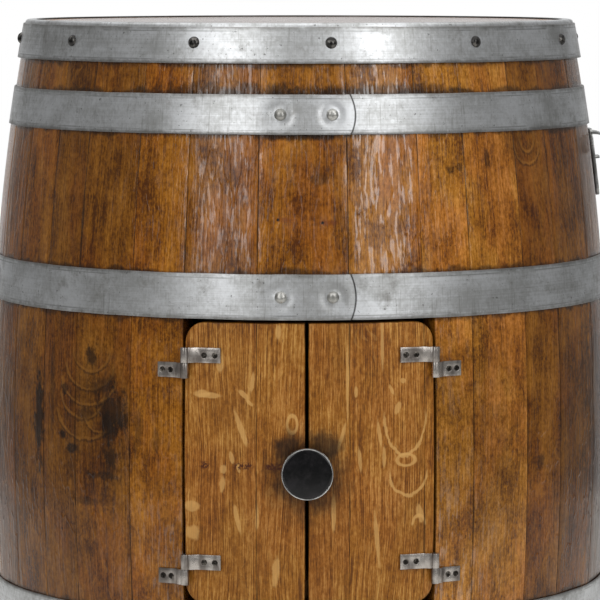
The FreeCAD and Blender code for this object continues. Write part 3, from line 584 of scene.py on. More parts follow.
def wall_marks(bench, colour):
    """Wine, water and iron stains at their places on the wall, dirt along hoops and seams, and painted shade:
    along the hoops' edges, under the upper quarter hoop, below the knot lines and in the tap's holes.
    """
    where = read(bench, "place")
    ragged = (cloud(where * (95, 50, 0), detail=6, rough=0.74) - 0.5) * 2.6
    for azimuth, height, wide, tall, opening in KNOT_LINES:
        for drop, line_colour, depth in ((KNOT_SHADOW, black_stain_and_shade, 0.40), (0, pale_growth, 0.38)):
            line = outline(where, ragged * 0.14, azimuth, height - drop, wide, tall, opening)
            colour = laid_over(colour, line_colour, line * depth)
    colour = spotted(colour, black_stain_and_shade, where, ragged, STAINS_AND_SHADOW, 0.3)
    for azimuth, height in PITS:
        colour = spotted(colour, tap_rust, where, ragged * 0.4, [(azimuth + 1, height, *PIT_RUST, 0.6)])
        # Each hole is a black spot of painted shade, as the hole itself is not cut.
        colour = spotted(colour, tap_hole_shade, where, 0.0, [(azimuth, height, PIT_WIDTH, PIT_WIDTH, 1.0)])
    rise = absolute(parts_of(where)[1] - middle)
    nearest = absolute(rise - HOOP_EDGES[0])
    for hoop_edge in HOOP_EDGES[1:]:
        nearest = smaller(nearest, absolute(rise - hoop_edge))
    # Dirt and painted shade darken the wood along every edge of every hoop.
    uneven = (cloud(where * (38, 30, 0), detail=5, rough=0.6) - 0.5) * HOOP_DIRT_AND_SHADE_SWAY
    colour = laid_over(colour, black_stain_and_shade, step(nearest + uneven, HOOP_DIRT_AND_SHADE, 0.0) * 0.66)
    return seam_dirt(bench, colour)


print("stains:", len(STAINS_AND_SHADOW), "and knot lines:", len(KNOT_LINES))

# %% [markdown]
# ## Marks on the doors
# The doors are flat-sawn oak with curled pale ray figures. The wood is darker round the knob, and five iron
# specks stand in a row across the left door.

# %% Ray figures and darker wood round the knob
pale_ray = paint(205, 158, 92)
rusty = paint(62, 22, 12)
# The iron specks, in the same words as the stains.
IRON_SPECKS = [(azimuth, 0.4480, 0.013, 0.009, 0.9) for azimuth in (-17.8, -11.6, -10.2, -6.2, -4.8)]
# Azimuth, height, width and height of the darker patches round the knob, and how dark they are.
KNOB_DARKENING = [(0, 0.440, 0.092, 0.096, 0.75), (-3.0, 0.466, 0.036, 0.036, 0.7),
               (3.2, 0.468, 0.040, 0.034, 0.7)]
# Azimuth, height, width and height of the curled ray figures on the doors, and their open sides.
DOOR_FIGURES = [(17.4, 0.453, 0.019, 0.012, 0), (17.2, 0.500, 0.044, 0.084, 1),
                (17.8, 0.441, 0.040, 0.048, 1), (-2.5, 0.491, 0.010, 0.017, 0),
                (19.8, 0.386, 0.014, 0.020, -1)]
# Azimuth, height, width and height of pale marks, and how far they lean.
PALE_MARKS = [
    (-18.4, 0.5200, 0.016, 0.009, 0), (-17.0, 0.5185, 0.026, 0.006, 0), (-15.1, 0.5520, 0.008, 0.022, 0),
    (-11.4, 0.4860, 0.0065, 0.036, 0.36), (-13.0, 0.4570, 0.005, 0.014, 0.2),
    (-10.9, 0.5200, 0.007, 0.010, 0.8),
    (-9.9, 0.5120, 0.005, 0.008, 0.8), (-9.4, 0.5330, 0.0045, 0.022, -0.1), (-4.9, 0.5830, 0.006, 0.016, 0),
    (-14.4, 0.4445, 0.008, 0.011, 0), (-11.8, 0.4460, 0.004, 0.011, 0.2), (-20.2, 0.4060, 0.016, 0.012, 0),
    (-20.0, 0.3790, 0.016, 0.017, 0), (-14.6, 0.4300, 0.006, 0.020, -0.1), (-12.0, 0.3940, 0.005, 0.032, 0.2),
    (-5.4, 0.3420, 0.008, 0.034, -0.1), (-8.6, 0.3980, 0.004, 0.030, 0), (16.9, 0.5330, 0.006, 0.006, 0),
    (15.9, 0.5060, 0.006, 0.014, -0.3), (14.8, 0.5240, 0.004, 0.012, 0.4), (12.6, 0.4800, 0.004, 0.028, 0.15),
    (8.5, 0.5230, 0.004, 0.012, 0), (6.0, 0.4780, 0.004, 0.030, -0.3), (7.0, 0.5300, 0.003, 0.080, 0),
    (13.4, 0.4560, 0.004, 0.026, 0), (9.1, 0.4550, 0.004, 0.030, 0.1), (13.2, 0.5700, 0.0035, 0.056, 0),
    (12.2, 0.3740, 0.005, 0.060, 0.1), (20.0, 0.3980, 0.008, 0.020, 0.2), (4.6, 0.4000, 0.005, 0.040, 0)]


def door_marks(bench, colour):
    """The ray figures of the wood, darker wood round the knob, and a row of iron specks."""
    where = read(bench, "place")
    ragged = (cloud(where * (90, 60, 0), detail=4, rough=0.65) - 0.5) * 1.5
    for azimuth, height, wide, tall, opening in DOOR_FIGURES:
        figure = outline(where, ragged * 0.22, azimuth, height, wide, tall, opening)
        colour = laid_over(colour, pale_ray, figure * 0.7)
    for azimuth, height, wide, tall, lean in PALE_MARKS:
        mark = spot(where, ragged * 0.7, azimuth, height, wide * 1.2, tall * 1.1, 0.2, lean)
        colour = laid_over(colour, pale_ray, mark * 0.62)
    # Darker patches of wood round the knob.
    colour = spotted(colour, black_stain_and_shade, where, ragged * 0.7, KNOB_DARKENING)
    dots = step(cloud(where * (420, 380, 0), detail=2), 0.44, 0.54)
    for azimuth, height, wide, tall, depth in IRON_SPECKS:
        speck = spot(where, ragged * 0.5, azimuth, height, wide, tall)
        colour = laid_over(colour, rusty, speck * dots * depth)
    return seam_dirt(bench, colour)


print("pale marks on the doors:", len(PALE_MARKS) + len(DOOR_FIGURES))

# %% [markdown]
# ## Four kinds of oak
# The staves are stained dark and varnished until they shine. The doors were sanded again, so they are
# lighter, drier and more even. Inside, the wood is nearly bare, and the bar top is dark under lacquer.

# %% Mix the four finishes
stave_shades = (paint(72, 37, 6), paint(124, 75, 11), paint(160, 105, 34))
stave_oak = oak("stave_oak", stave_shades, flecks=0.25, gloss=0.17, marks=wall_marks, specular=0.34,
                varnish=0.9)
door_shades = (paint(94, 52, 8), paint(144, 90, 22), paint(188, 138, 70))
door_oak = oak("door_oak", door_shades, flecks=0.25, gloss=0.40, fibre=1.7, mottle=0.6, marks=door_marks,
               ripple=0.5, specular=0.25)
inside_shades = (paint(110, 78, 46), paint(158, 120, 78), paint(190, 156, 112))
inside_oak = oak("inside_oak", inside_shades, gloss=0.62, mottle=0.5, ripple=0.3, specular=0.25)
top_shades = (paint(62, 30, 10), paint(104, 58, 22), paint(140, 88, 38))
top_oak = oak("top_oak", top_shades, gloss=0.14, mottle=0.4, ripple=0.4, specular=0.5)
print("oak finishes:", stave_oak.name, door_oak.name, inside_oak.name, top_oak.name)

# %% [markdown]
# ## Apart into solids
# A node may hold several separate solids: short staves, screws, boards. Their places are read from the
# measured model, so each solid is found by walking from face to face over shared points.

# %% Split a node into its solids
WELD = 0.001 * MM


def islands(edited):
    """Lists of the vertices of each separate solid in a bmesh."""
    visited, found = set(), []
    for start in edited.verts:
        if start in visited:
            continue
        visited.add(start)
        group, queue = [], [start]
        while queue:
            vertex = queue.pop()
            group.append(vertex)
            fresh = {edge.other_vert(vertex) for edge in vertex.link_edges} - visited
            visited |= fresh
            queue += sorted(fresh, key=lambda other: other.index)
        found.append(group)
    return found


def welded(node):
    """A bmesh of a node with the points of neighbouring faces joined."""
    edited = bmesh.new()
    edited.from_mesh(frame["nodes"][node].data)
    bmesh.ops.remove_doubles(edited, verts=edited.verts, dist=WELD)
    edited.verts.index_update()
    return edited


def solids(node):
    """One array of points for each separate solid of a node."""
    edited = welded(node)
    found = [np.array([tuple(vertex.co) for vertex in group]) for group in islands(edited)]
    edited.free()
    return found


def azimuths(points):
    """Azimuths of points in degrees, all on one side of the turn-over behind the barrel."""
    middle_x, middle_y = points[:, 0].mean(), points[:, 1].mean()
    centre = math.degrees(math.atan2(middle_x, -middle_y))
    angles = np.degrees(np.arctan2(points[:, 0], -points[:, 1]))
    return centre + (angles - centre + 180) % 360 - 180


print("rivets in the hoops:", len(solids("hoop_rivets")))

# %% [markdown]
# ## Staves
# A stave is a bent plank with straight sides that meet the next ones, a groove for each head and
# bevelled ends. A cube could be bent into shape, but a grid of points gives even strips for the light to
# run down. Rows and columns lie closer together near the outline, where the points sink along a quarter
# circle, so that every edge is soft.

# %% Rows and columns for soft edges
EDGE_SHARES = np.array([0, 0.1, 0.3, 0.6, 1.0])


def spaced(start, end, pace, soft):
    """Numbers from start to end, a pace apart, closer together within `soft` of both ends."""
    count = max(2, round((end - start - 2 * soft) / pace) + 1)
    inner = np.linspace(start + soft, end - soft, count)[1:-1]
    return np.concatenate([start + soft * EDGE_SHARES, inner, end - soft * EDGE_SHARES[::-1]])


def rounded(distance, soft):
    """How far a soft edge has sunk, at a distance from the outline."""
    gone = np.clip(soft - distance, 0, soft)
    return soft - np.sqrt(soft ** 2 - gone ** 2)


print("edges sink at shares", EDGE_SHARES.tolist(), "of their softness")

# %% [markdown]
# The grid becomes a solid by giving every front point a partner at the back. Squares that are cut away
# are left out, and walls are added round whatever is left. The points carry three things for the
# finish: their place on the unrolled wall, their own place in the tree, and how far the rim is.

# %% A grid that becomes a piece of the wall
HEWN = 0.30 * MM                # how deep the plane has left the front uneven


def panel(azimuth, height, back, sunk, kept, rim, seed):
    """Points, faces, places and rim distances of a piece of the wall, from grids of azimuths and heights.

    `back` has the height and depth of each row at the back, `sunk` the drop of every front point and
    `rim` its distance from the outline.
    """
    wide, tall = azimuth.shape
    rough = np.array([[noise.noise((azimuth[i, j] * 0.12, height[i, j] * 9, seed)) for j in range(tall)]
                      for i in range(wide)])
    proud = -sunk - (1 - rough) / 2 * HEWN
    front_points = around(azimuth, wall_radius(height, proud), height)
    back_height, back_depth = back
    back_points = around(azimuth, wall_radius(back_height, -back_depth)[None, :], back_height[None, :])
    points = np.concatenate([front_points.reshape(-1, 3), back_points.reshape(-1, 3)])

    def number(i, j, side=0):
        return side * wide * tall + i * tall + j

    faces = []
    for i in range(wide - 1):
        for j in range(tall - 1):
            if not kept[i, j]:
                continue
            ring = [(i, j), (i + 1, j), (i + 1, j + 1), (i, j + 1)]
            beside = [(i, j - 1), (i + 1, j), (i, j + 1), (i - 1, j)]
            faces.append([number(*cell) for cell in ring])
            faces.append([number(*cell, 1) for cell in ring[::-1]])
            for side, (a, b) in enumerate(beside):
                if 0 <= a < wide - 1 and 0 <= b < tall - 1 and kept[a, b]:
                    continue
                start, end = ring[side], ring[(side + 1) % 4]
                faces.append([number(*end), number(*start), number(*start, 1), number(*end, 1)])

    used = sorted({index for face in faces for index in face})
    renumbered = {old: new for new, old in enumerate(used)}
    faces = [[renumbered[index] for index in face] for face in faces]
    angle = np.radians(np.concatenate([azimuth.ravel(), azimuth.ravel()]))
    depth = np.concatenate([-proud.ravel(), np.tile(back_depth, wide)])
    where = np.stack([angle * BILGE_RADIUS, points[:, 2], depth], -1)
    board = where + np.array([seed * 0.731, seed * 1.37, seed * 0.19])
    rims = np.concatenate([rim.ravel(), rim.ravel()])
    return points[used], faces, board[used], where[used], rims[used]


print("fronts are uneven by", HEWN / MM, "mm")

# %% [markdown]
# A node may hold several panels side by side. They are joined into one mesh, and what lies in the inner
# half of the wall's thickness is bare oak, because only the outside was stained and varnished.

# %% Panels joined into a piece
def wall_piece(name, parts, material, slot, nodes):
    """Join panels into one piece; each comes with its tone."""
    points, faces, boards, places, rims, tones = [], [], [], [], [], []
    total = 0
    for (part_points, part_faces, board, where, rim), tone in parts:
        faces += [[index + total for index in face] for face in part_faces]
        total += len(part_points)
        points.append(part_points)
        boards.append(board)
        places.append(where)
        rims.append(rim)
        tones.append(np.full(len(part_points), tone))
    mesh = mesh_of(name, np.concatenate(points), faces)
    give(mesh, "board", "FLOAT_VECTOR", np.concatenate(boards))
    give(mesh, "place", "FLOAT_VECTOR", np.concatenate(places))
    give(mesh, "rim", "FLOAT", np.concatenate(rims))
    give(mesh, "tone", "FLOAT", np.concatenate(tones))
    piece = place(name, mesh, material, slot, nodes)
    mesh.materials.append(inside_oak)
    depths = np.concatenate(places)[:, 2]
    for polygon in mesh.polygons:
        polygon.material_index = int(depths[list(polygon.vertices)].min() > STAVE_THICKNESS / 2)
    return piece


print("the outside and the inside meet", STAVE_THICKNESS / 2 / MM, "mm deep")

# %% [markdown]
# Whole staves come first. Their seams, the notch beside the doors and the grooves for the heads are
# measured from the model. Each face is planed nearly flat, so that it catches the light by itself.

# %% One stave
STAVE_SOFT = 0.6 * MM
SEAM = 0.12 * MM                # half of the open line between two staves
ROW_PACE = 15 * MM
COLUMN_PACE = 8 * MM
END_CHAMFER = 3 * MM
CHIME = 4 * MM                  # how much thinner the ends are, bevelled from inside
FACET = 0.35                    # how far a stave's face is planed flat, from its round to its chord
HAIR = 0.01 * MM
# Rows round a groove: from its middle to the row in front and to the one behind, and the groove's depth.
GROOVE_ROWS = [(-8 * MM, -3 * MM, 0), (-4 * MM, -3 * MM, 5 * MM),
               (4 * MM, 3 * MM, 5 * MM), (8 * MM, 3 * MM, 0)]
GROOVE_CLEAR = 10 * MM          # no other row lies this close to a groove's middle
notch_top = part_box("short_staves_above_doors")[0].z
notch_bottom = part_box("short_staves_below_doors")[1].z
notched_stave = "stave_06"
beside_door = solids(notched_stave)[0]
beside_door = beside_door[(beside_door[:, 2] > notch_bottom + MM) & (beside_door[:, 2] < notch_top - MM)]
notch_side = float(azimuths(beside_door).min())
heads = [sum(corner.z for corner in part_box(node)) / 2 for node in ("bottom_head", "top_head")]


def stave_rows(low, high):
    """Front height, back height and back depth of each row; the barrel's own ends are bevelled."""
    bottom_end, top_end = low < wood_low + MM, high > wood_high - MM
    rows = [(z, z, STAVE_THICKNESS) for z in spaced(low, high, ROW_PACE, END_CHAMFER)]
    if bottom_end:
        rows[0] = (low, low, STAVE_THICKNESS - CHIME)
    if top_end:
        rows[-1] = (high, high, STAVE_THICKNESS - CHIME)
    for groove in heads:
        if low < groove < high:
            rows = [row for row in rows if abs(row[0] - groove) > GROOVE_CLEAR]
            rows += [(groove + front, groove + back, STAVE_THICKNESS - depth)
                     for front, back, depth in GROOVE_ROWS]
    return sorted(rows)


def stave_panel(start, end, low, high, seed, notched=False):
    """A stave between two azimuths and two heights, as a panel; one has a notch for the doors."""
    soft = degrees_of(STAVE_SOFT)
    start, end = start + degrees_of(SEAM), end - degrees_of(SEAM)
    columns = spaced(start, end, degrees_of(COLUMN_PACE), soft)
    rows = stave_rows(low, high)
    if notched:
        columns = np.concatenate([[start], spaced(notch_side, end, degrees_of(COLUMN_PACE), soft)])
        extra = [notch_bottom - STAVE_SOFT, notch_bottom, notch_top, notch_top + STAVE_SOFT]
        rows = sorted(rows + [(z, z, STAVE_THICKNESS) for z in extra])
    front, back, depth = (np.array(values) for values in zip(*rows))
    azimuth, height = np.meshgrid(columns, front, indexing="ij")
    reach = np.radians(1) * wall_radius(height)
    aside = np.minimum(azimuth - start, end - azimuth) * reach
    kept = np.ones((len(columns) - 1, len(front) - 1), bool)
    if notched:
        beside = np.maximum(azimuth - notch_side, 0) * reach
        beyond = np.maximum(np.maximum(height - notch_top, notch_bottom - height), 0)
        aside = np.minimum(aside, np.hypot(beside, beyond))
        between = (front[:-1] > notch_bottom - HAIR) & (front[1:] < notch_top + HAIR)
        kept[0, between] = False
    ends = np.minimum(height - low, high - height)
    bevelled = low < wood_low + MM or high > wood_high - MM
    sunk = rounded(aside, STAVE_SOFT)
    sunk = np.maximum(sunk, np.clip(END_CHAMFER - ends, 0, None) if bevelled else rounded(ends, STAVE_SOFT))
    half = math.radians(end - start) / 2
    across = np.radians(azimuth - (start + end) / 2) / half
    sunk = sunk + FACET * BILGE_RADIUS * half ** 2 / 2 * np.clip(1 - across ** 2, 0, 1)
    return panel(azimuth, height, (back, depth), sunk, kept, aside, seed)


print("notch beside the doors from", round(notch_bottom, 4), "to", round(notch_top, 4))

# %% [markdown]
# The stain has taken differently on each stave, so the front ones have tones that are given one by one.
# The tones of the back ones are drawn from a seeded lot, which gives the same barrel every time.

# %% Whole staves
FRONT_TONES = {"stave_01": -1.2, "stave_02": -0.7, "stave_03": -1.1, "stave_04": -0.7, "stave_05": 0.5,
               "stave_06": 2.6, "stave_07": 2.0, "stave_08": -0.5, "stave_09": -1.0, "stave_10": -1.6,
               "stave_11": -0.4, "stave_12": -0.1}
lot = np.random.default_rng(7)
stave_count = 0
for number in range(1, 26):
    node = f"stave_{number:02d}"
    turn = azimuths(solids(node)[0])
    tone = FRONT_TONES.get(node, float(lot.uniform(-0.4, 0.4)))
    made = stave_panel(turn.min(), turn.max(), wood_low, wood_high, number, notched=node == notched_stave)
    wall_piece(node + "_shaped", [(made, tone)], stave_oak, "stave_oak", [node])
    stave_count += 1
print("whole staves:", stave_count)

# %% [markdown]
# The short staves above and below the doors are what the saw left. They are made by the same grid and
# are only cut off square where the opening begins. Their sides touch, so the seams between them can't be
# told from their own points. The doors were the same staves once, and their seams still lie in line.

# %% Short staves
SHORT_SEED = 30
SHORT_TONES = {"above": (0.0, 0.7, 1.6), "below": (0.3, 0.0, 0.4)}
door_seams = [float(azimuths(solids(node)[0]).max())
              for node in ("left_door_outer_stave", "right_door_inner_stave")]
for where, tones in SHORT_TONES.items():
    node = f"short_staves_{where}_doors"
    points = np.concatenate(solids(node))
    turn = azimuths(points)
    low, high = points[:, 2].min(), points[:, 2].max()
    seams = [turn.min(), *door_seams, turn.max()]
    parts = [(stave_panel(start, end, low, high, SHORT_SEED + tone), tone)
             for start, end, tone in zip(seams, seams[1:], tones)]
    wall_piece(node + "_shaped", parts, stave_oak, "stave_oak", [node])
    print(node, "made of", len(parts))

# %% [markdown]
# ## Doors
# The doors are the staves that were sawn out, trimmed to leave a gap all round, with their outer corners
# rounded. They are sanded and varnished less, so they look lighter and drier than the wall. The rounded
# corners need no cutting: each row of the grid starts where the outline has got to at that height.

# %% The outline of a door
DOOR_SOFT = 1.8 * MM
GLUED_SOFT = 0.5 * MM           # edges of the boards inside a door
DOOR_CORNER = 20 * MM
CORNER_STEPS = np.radians(np.linspace(0, 90, 9))
LONG_ROWS = 17                  # rows between the corners, with the two that end them
door_low, door_high = (corner.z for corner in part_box("left_door_outer_stave"))


def corner_inset(from_end):
    """How far a rounded corner has drawn the side in, at a distance from the door's end."""
    lift = np.clip(DOOR_CORNER - from_end, 0, DOOR_CORNER)
    return DOOR_CORNER - np.sqrt(DOOR_CORNER ** 2 - lift ** 2)


def door_rows(low, high):
    """Heights of the rows, closer together round the corners and at the soft ends."""
    near = np.concatenate([DOOR_CORNER * (1 - np.sin(CORNER_STEPS)), DOOR_SOFT * EDGE_SHARES])
    long_run = np.linspace(door_low + DOOR_CORNER, door_high - DOOR_CORNER, LONG_ROWS)[1:-1]
    rows = np.concatenate([door_low + near, door_high - near, long_run, [low, high]])
    return np.unique(np.round(rows[(rows >= low) & (rows <= high)], 6))


print("doors from", round(door_low, 4), "to", round(door_high, 4))

# %% [markdown]
# A door is glued up from two or three of the old staves. Every board is a panel of its own, and sinks
# deeper at the door's outline than at the glued seams.

# %% Door staves
DOOR_SEED = 40
# The boards of each door from left to right, and their tones.
DOORS = {"left": [("outer_stave", 0.05), ("inner_stave", 0.0)],
         "right": [("inner_stave", 0.0), ("outer_stave", 0.15), ("edge_strip", 0.45)]}


def door_panel(start, end, door_start, door_end, seed, low, high):
    """One stave of a door, whose outer side has rounded corners: the left door's is on the left."""
    rows = door_rows(low, high)
    inset = np.degrees(corner_inset(np.minimum(rows - door_low, door_high - rows)) / wall_radius(rows))
    leftwards = door_start < -degrees_of(DOOR_CORNER)
    left = np.maximum(start, door_start + inset) if leftwards else start + 0 * rows
    right = end + 0 * rows if leftwards else np.minimum(end, door_end - inset)
    shares = (spaced(start, end, degrees_of(COLUMN_PACE), degrees_of(DOOR_SOFT)) - start) / (end - start)
    azimuth = left + shares[:, None] * (right - left)
    height = np.broadcast_to(rows, azimuth.shape)
    reach = np.radians(1) * wall_radius(height)
    to_outer, to_inner = (azimuth - door_start) * reach, (door_end - azimuth) * reach
    if not leftwards:
        to_outer, to_inner = to_inner, to_outer
    to_end = np.minimum(height - door_low, door_high - height)
    to_curve = DOOR_CORNER - np.hypot(DOOR_CORNER - to_outer, DOOR_CORNER - to_end)
    in_corner = (to_outer < DOOR_CORNER) & (to_end < DOOR_CORNER)
    outline = np.minimum(np.where(in_corner, to_curve, np.minimum(to_outer, to_end)), to_inner)
    seam = np.minimum(azimuth - start, end - azimuth) * reach
    sunk = np.maximum(rounded(np.maximum(outline, 0), DOOR_SOFT), rounded(np.maximum(seam, 0), GLUED_SOFT))
    kept = np.ones((azimuth.shape[0] - 1, azimuth.shape[1] - 1), bool)
    back = (rows, np.full(len(rows), STAVE_THICKNESS))
    return panel(azimuth, height, back, sunk, kept, np.minimum(outline, seam), seed)


for side, boards in DOORS.items():
    nodes = {f"{side}_door_{board}": tone for board, tone in boards}
    turns = [azimuths(solids(node)[0]) for node in nodes]
    door_start, door_end = min(turn.min() for turn in turns), max(turn.max() for turn in turns)
    for (node, tone), turn in zip(nodes.items(), turns):
        low, high = (corner.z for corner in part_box(node))
        made = door_panel(turn.min(), turn.max(), door_start, door_end, DOOR_SEED + turn.mean(), low, high)
        wall_piece(node + "_shaped", [(made, tone)], door_oak, "stave_oak", [node])
    print(side, "door from", round(float(door_start), 1), "to", round(float(door_end), 1), "degrees")

# %% [markdown]
# ## Galvanised steel
# The hoops are steel strip dipped in zinc. Zinc freezes in dull and bright flakes, the rolls leave faint
# lines along the strip, and handling leaves scratches and white bloom. Flakes of colour, a lower or
# higher gloss and a little bump give all of it.

# %% The zinc recipe
def zinc(name, bright, dull, gloss=0.375):
    """Galvanised steel in two shades, with grime, scratches, and painted shade along its lapped end and lip.
    """
    material, bench = new_finish(name)
    strip = read(bench, "board")
    rim = read(bench, "rim", "Fac")
    flakes = cloud(strip * (260, 200, 200), detail=4, rough=0.7)
    bloom = cloud(strip * (16, 24, 13), detail=4, rough=0.6)
    rolled = cloud(strip * (6, 800, 5), detail=2)
    specks = step(cloud(strip * (300, 300, 300), detail=2), 0.68, 0.74)
    leaned = shifted(bench, strip, parts_of(strip)[1] * 1.7)
    scratches = step(cloud(leaned * (90, 700, 90), detail=1), 0.70, 0.78)
    hairlines = step(cloud(strip * (640, 22, 30), detail=3, rough=0.6), 0.54, 0.70)
    grime = step(cloud(strip * (30, 34, 30), detail=5, rough=0.7), 0.53, 0.72)
    uneven = (cloud(strip * (60, 60, 60), detail=4, rough=0.7) - 0.5) * 9 * MM
    rim_grime = step(rim + uneven, 4.5 * MM, 0.0)
    rolled_line = step(absolute(rim - 4.2 * MM), 0.9 * MM, 0.3 * MM) * step(bloom, 0.42, 0.58)
    # A painted shadow line along the edge of a lap's tip, and the painted shade of the flange's inner edge.
    lap_shadow_line = step(absolute(read(bench, "tip", "Fac")), 1.5 * MM, 0.5 * MM)

    mixed = step(flakes * 0.35 + bloom * 0.65 + (rolled - 0.5) * 0.18, 0.34, 0.66)
    colour = laid_over(dull, bright, mixed)
    layers = [(paint(112, 108, 100), grime * 0.5), (paint(104, 100, 93), rim_grime * 0.6),
              (paint(92, 90, 86), rolled_line * 0.45), (paint(60, 58, 55), specks * 0.6),
              (paint(120, 118, 114), scratches * 0.4),
              (paint(136, 134, 130), hairlines * step(bloom, 0.60, 0.44) * 0.5),
              (paint(34, 30, 27), lap_shadow_line * 0.85)]
    for shade, mask in layers:
        colour = laid_over(colour, shade, mask)
    rough = gloss + (1 - mixed) * 0.05 + (bloom - 0.5) * 0.08 + grime * 0.08
    height = flakes * 0.3 + rolled * 0.15 + bloom * 0.4 - scratches * 0.2 - specks * 0.4 - hairlines * 0.06
    surfaced(bench, Base_Color=colour, Metallic=1.0, Roughness=rough, Normal=raised(height, 0.09 * MM))
    return material


hoop_zinc = zinc("hoop_zinc", paint(228, 230, 232), paint(182, 183, 182))
rivet_zinc = zinc("rivet_zinc", paint(204, 203, 198), paint(158, 157, 152), gloss=0.34)
print("zinc finishes:", hoop_zinc.name, rivet_zinc.name)

# %% [markdown]
# ## Hoops
# A hoop is one strip of steel, bent round until its outer end laps over the inner one and is riveted
# there. It is never quite true: the edges wander where the hammer drove it on, and the face has dents.
# The strip is a flat section with soft edges, and the hammer is a slow and a quick noise.

# %% The section of a flat hoop
HOOP_THICKNESS = 1.6 * MM
HOOP_GAP = 0.05 * MM
HOOP_SOFT = 0.35 * MM
SOFT_SHARE = 0.3                # where a soft edge breaks into its second facet


def band_section(low, high, layer):
    """(height, how far it stands proud) of points round a flat hoop's section, on one layer or the next."""
    inner = HOOP_GAP + layer * HOOP_THICKNESS
    outer = inner + HOOP_THICKNESS
    ease = HOOP_SOFT * SOFT_SHARE
    heights = np.concatenate([[low, low + ease, low + HOOP_SOFT], np.linspace(low, high, 15)[1:-1],
                              [high - HOOP_SOFT, high - ease, high]])
    prouds = np.full(len(heights), outer)
    prouds[[0, -1]] = outer - HOOP_SOFT
    prouds[[1, -2]] = outer - ease
    inside = [(high, inner), ((low + high) / 2, inner), (low, inner)]
    return np.array(list(zip(heights, prouds)) + inside)


def hammered(turn, height, seed, depth):
    """Uneven push in or out at a place on a hoop."""
    broad = noise.noise((turn * 0.09, height * 18, seed))
    fine = noise.noise((turn * 0.35, height * 60, seed + 5))
    return depth * (broad * 0.7 + fine * 0.3)


print("a flat hoop's section has", len(band_section(0.0, 1.0, 0)), "points")

# %% [markdown]
# Sections that stand in rows round the barrel are joined into one skin. A strip has two ends, which are
# capped, and a ring closes on itself. The same function serves every hoop.

# %% Join sections into a strip
def strip_mesh(name, azimuth, distance, height, seed, closed):
    """Join rows of section points into a mesh, with capped ends or closed on itself."""
    rows, columns = azimuth.shape
    points = around(azimuth, distance, height).reshape(-1, 3)
    faces = []
    for row in range(rows if closed else rows - 1):
        after = (row + 1) % rows
        for column in range(columns):
            beside = (column + 1) % columns
            faces.append([row * columns + column, after * columns + column,
                          after * columns + beside, row * columns + beside])
    if not closed:
        faces.append(list(range(columns)))
        faces.append([(rows - 1) * columns + column for column in reversed(range(columns))])
    mesh = mesh_of(name, points, faces)
    where = np.stack([np.radians(azimuth) * BILGE_RADIUS, height, distance], -1).reshape(-1, 3)
    give(mesh, "board", "FLOAT_VECTOR", where + np.array([seed * 0.61, seed * 0.23, 0]))
    return mesh


print("strips and rings can be joined")

# %% [markdown]
# The section is carried round the barrel and a little further, while it climbs by its own thickness, and
# the last rows are bent back to the bulging tip. A ring with a patch on it would show a step all round.
# The face is dented in a ring round each rivet. Every point carries its distance from the tip, where the
# finish paints a shadow line along the lap's edge.

# %% Flat hoops
LAP_REACH = 49 * MM             # from the middle of the lap to the tip
TIP_SAG = 5 * MM                # how far the tip's corners lie behind its middle
TIP_TURNS = 8                   # degrees over which the tip takes its shape
FINE_TURNS = 2                  # degrees before the tip with the closest rows, and how many rows those are
FINE_ROWS = 7
TURN_PACE = 1.5                 # degrees between rows on the long run, and at the lap
LAP_PACE = 0.4
LAP_END = 12                    # where the strip leaves the lap, and where it begins to climb, in degrees
CLIMB_START = 345
SWAY = 0.45 * MM                # how far an edge wanders, and how far in that is felt
SWAY_REACH = 6 * MM
FACE_DENTS = 0.22 * MM
RIVET_TURNS = (-4.6, 4.6)       # degrees from the middle of the lap
RIVET_DENT = 0.8 * MM           # depth, distance from the rivet and width of the ring dented round it
DENT_AWAY = 9 * MM
DENT_WIDE = 3.5 * MM


def lapped_turns(tip, first_turn):
    """Degrees of the rows of a strip, closer together at the lap and closest at the tip."""
    under_lap = np.arange(first_turn, LAP_END, LAP_PACE)
    over_lap = np.arange(360 + first_turn, 360 + tip - FINE_TURNS, LAP_PACE)
    long_run = np.arange(max(first_turn, LAP_END), 360 + first_turn, TURN_PACE)
    at_tip = np.linspace(360 + tip - FINE_TURNS, 360 + tip, FINE_ROWS)
    return np.concatenate([under_lap, long_run, over_lap, at_tip])


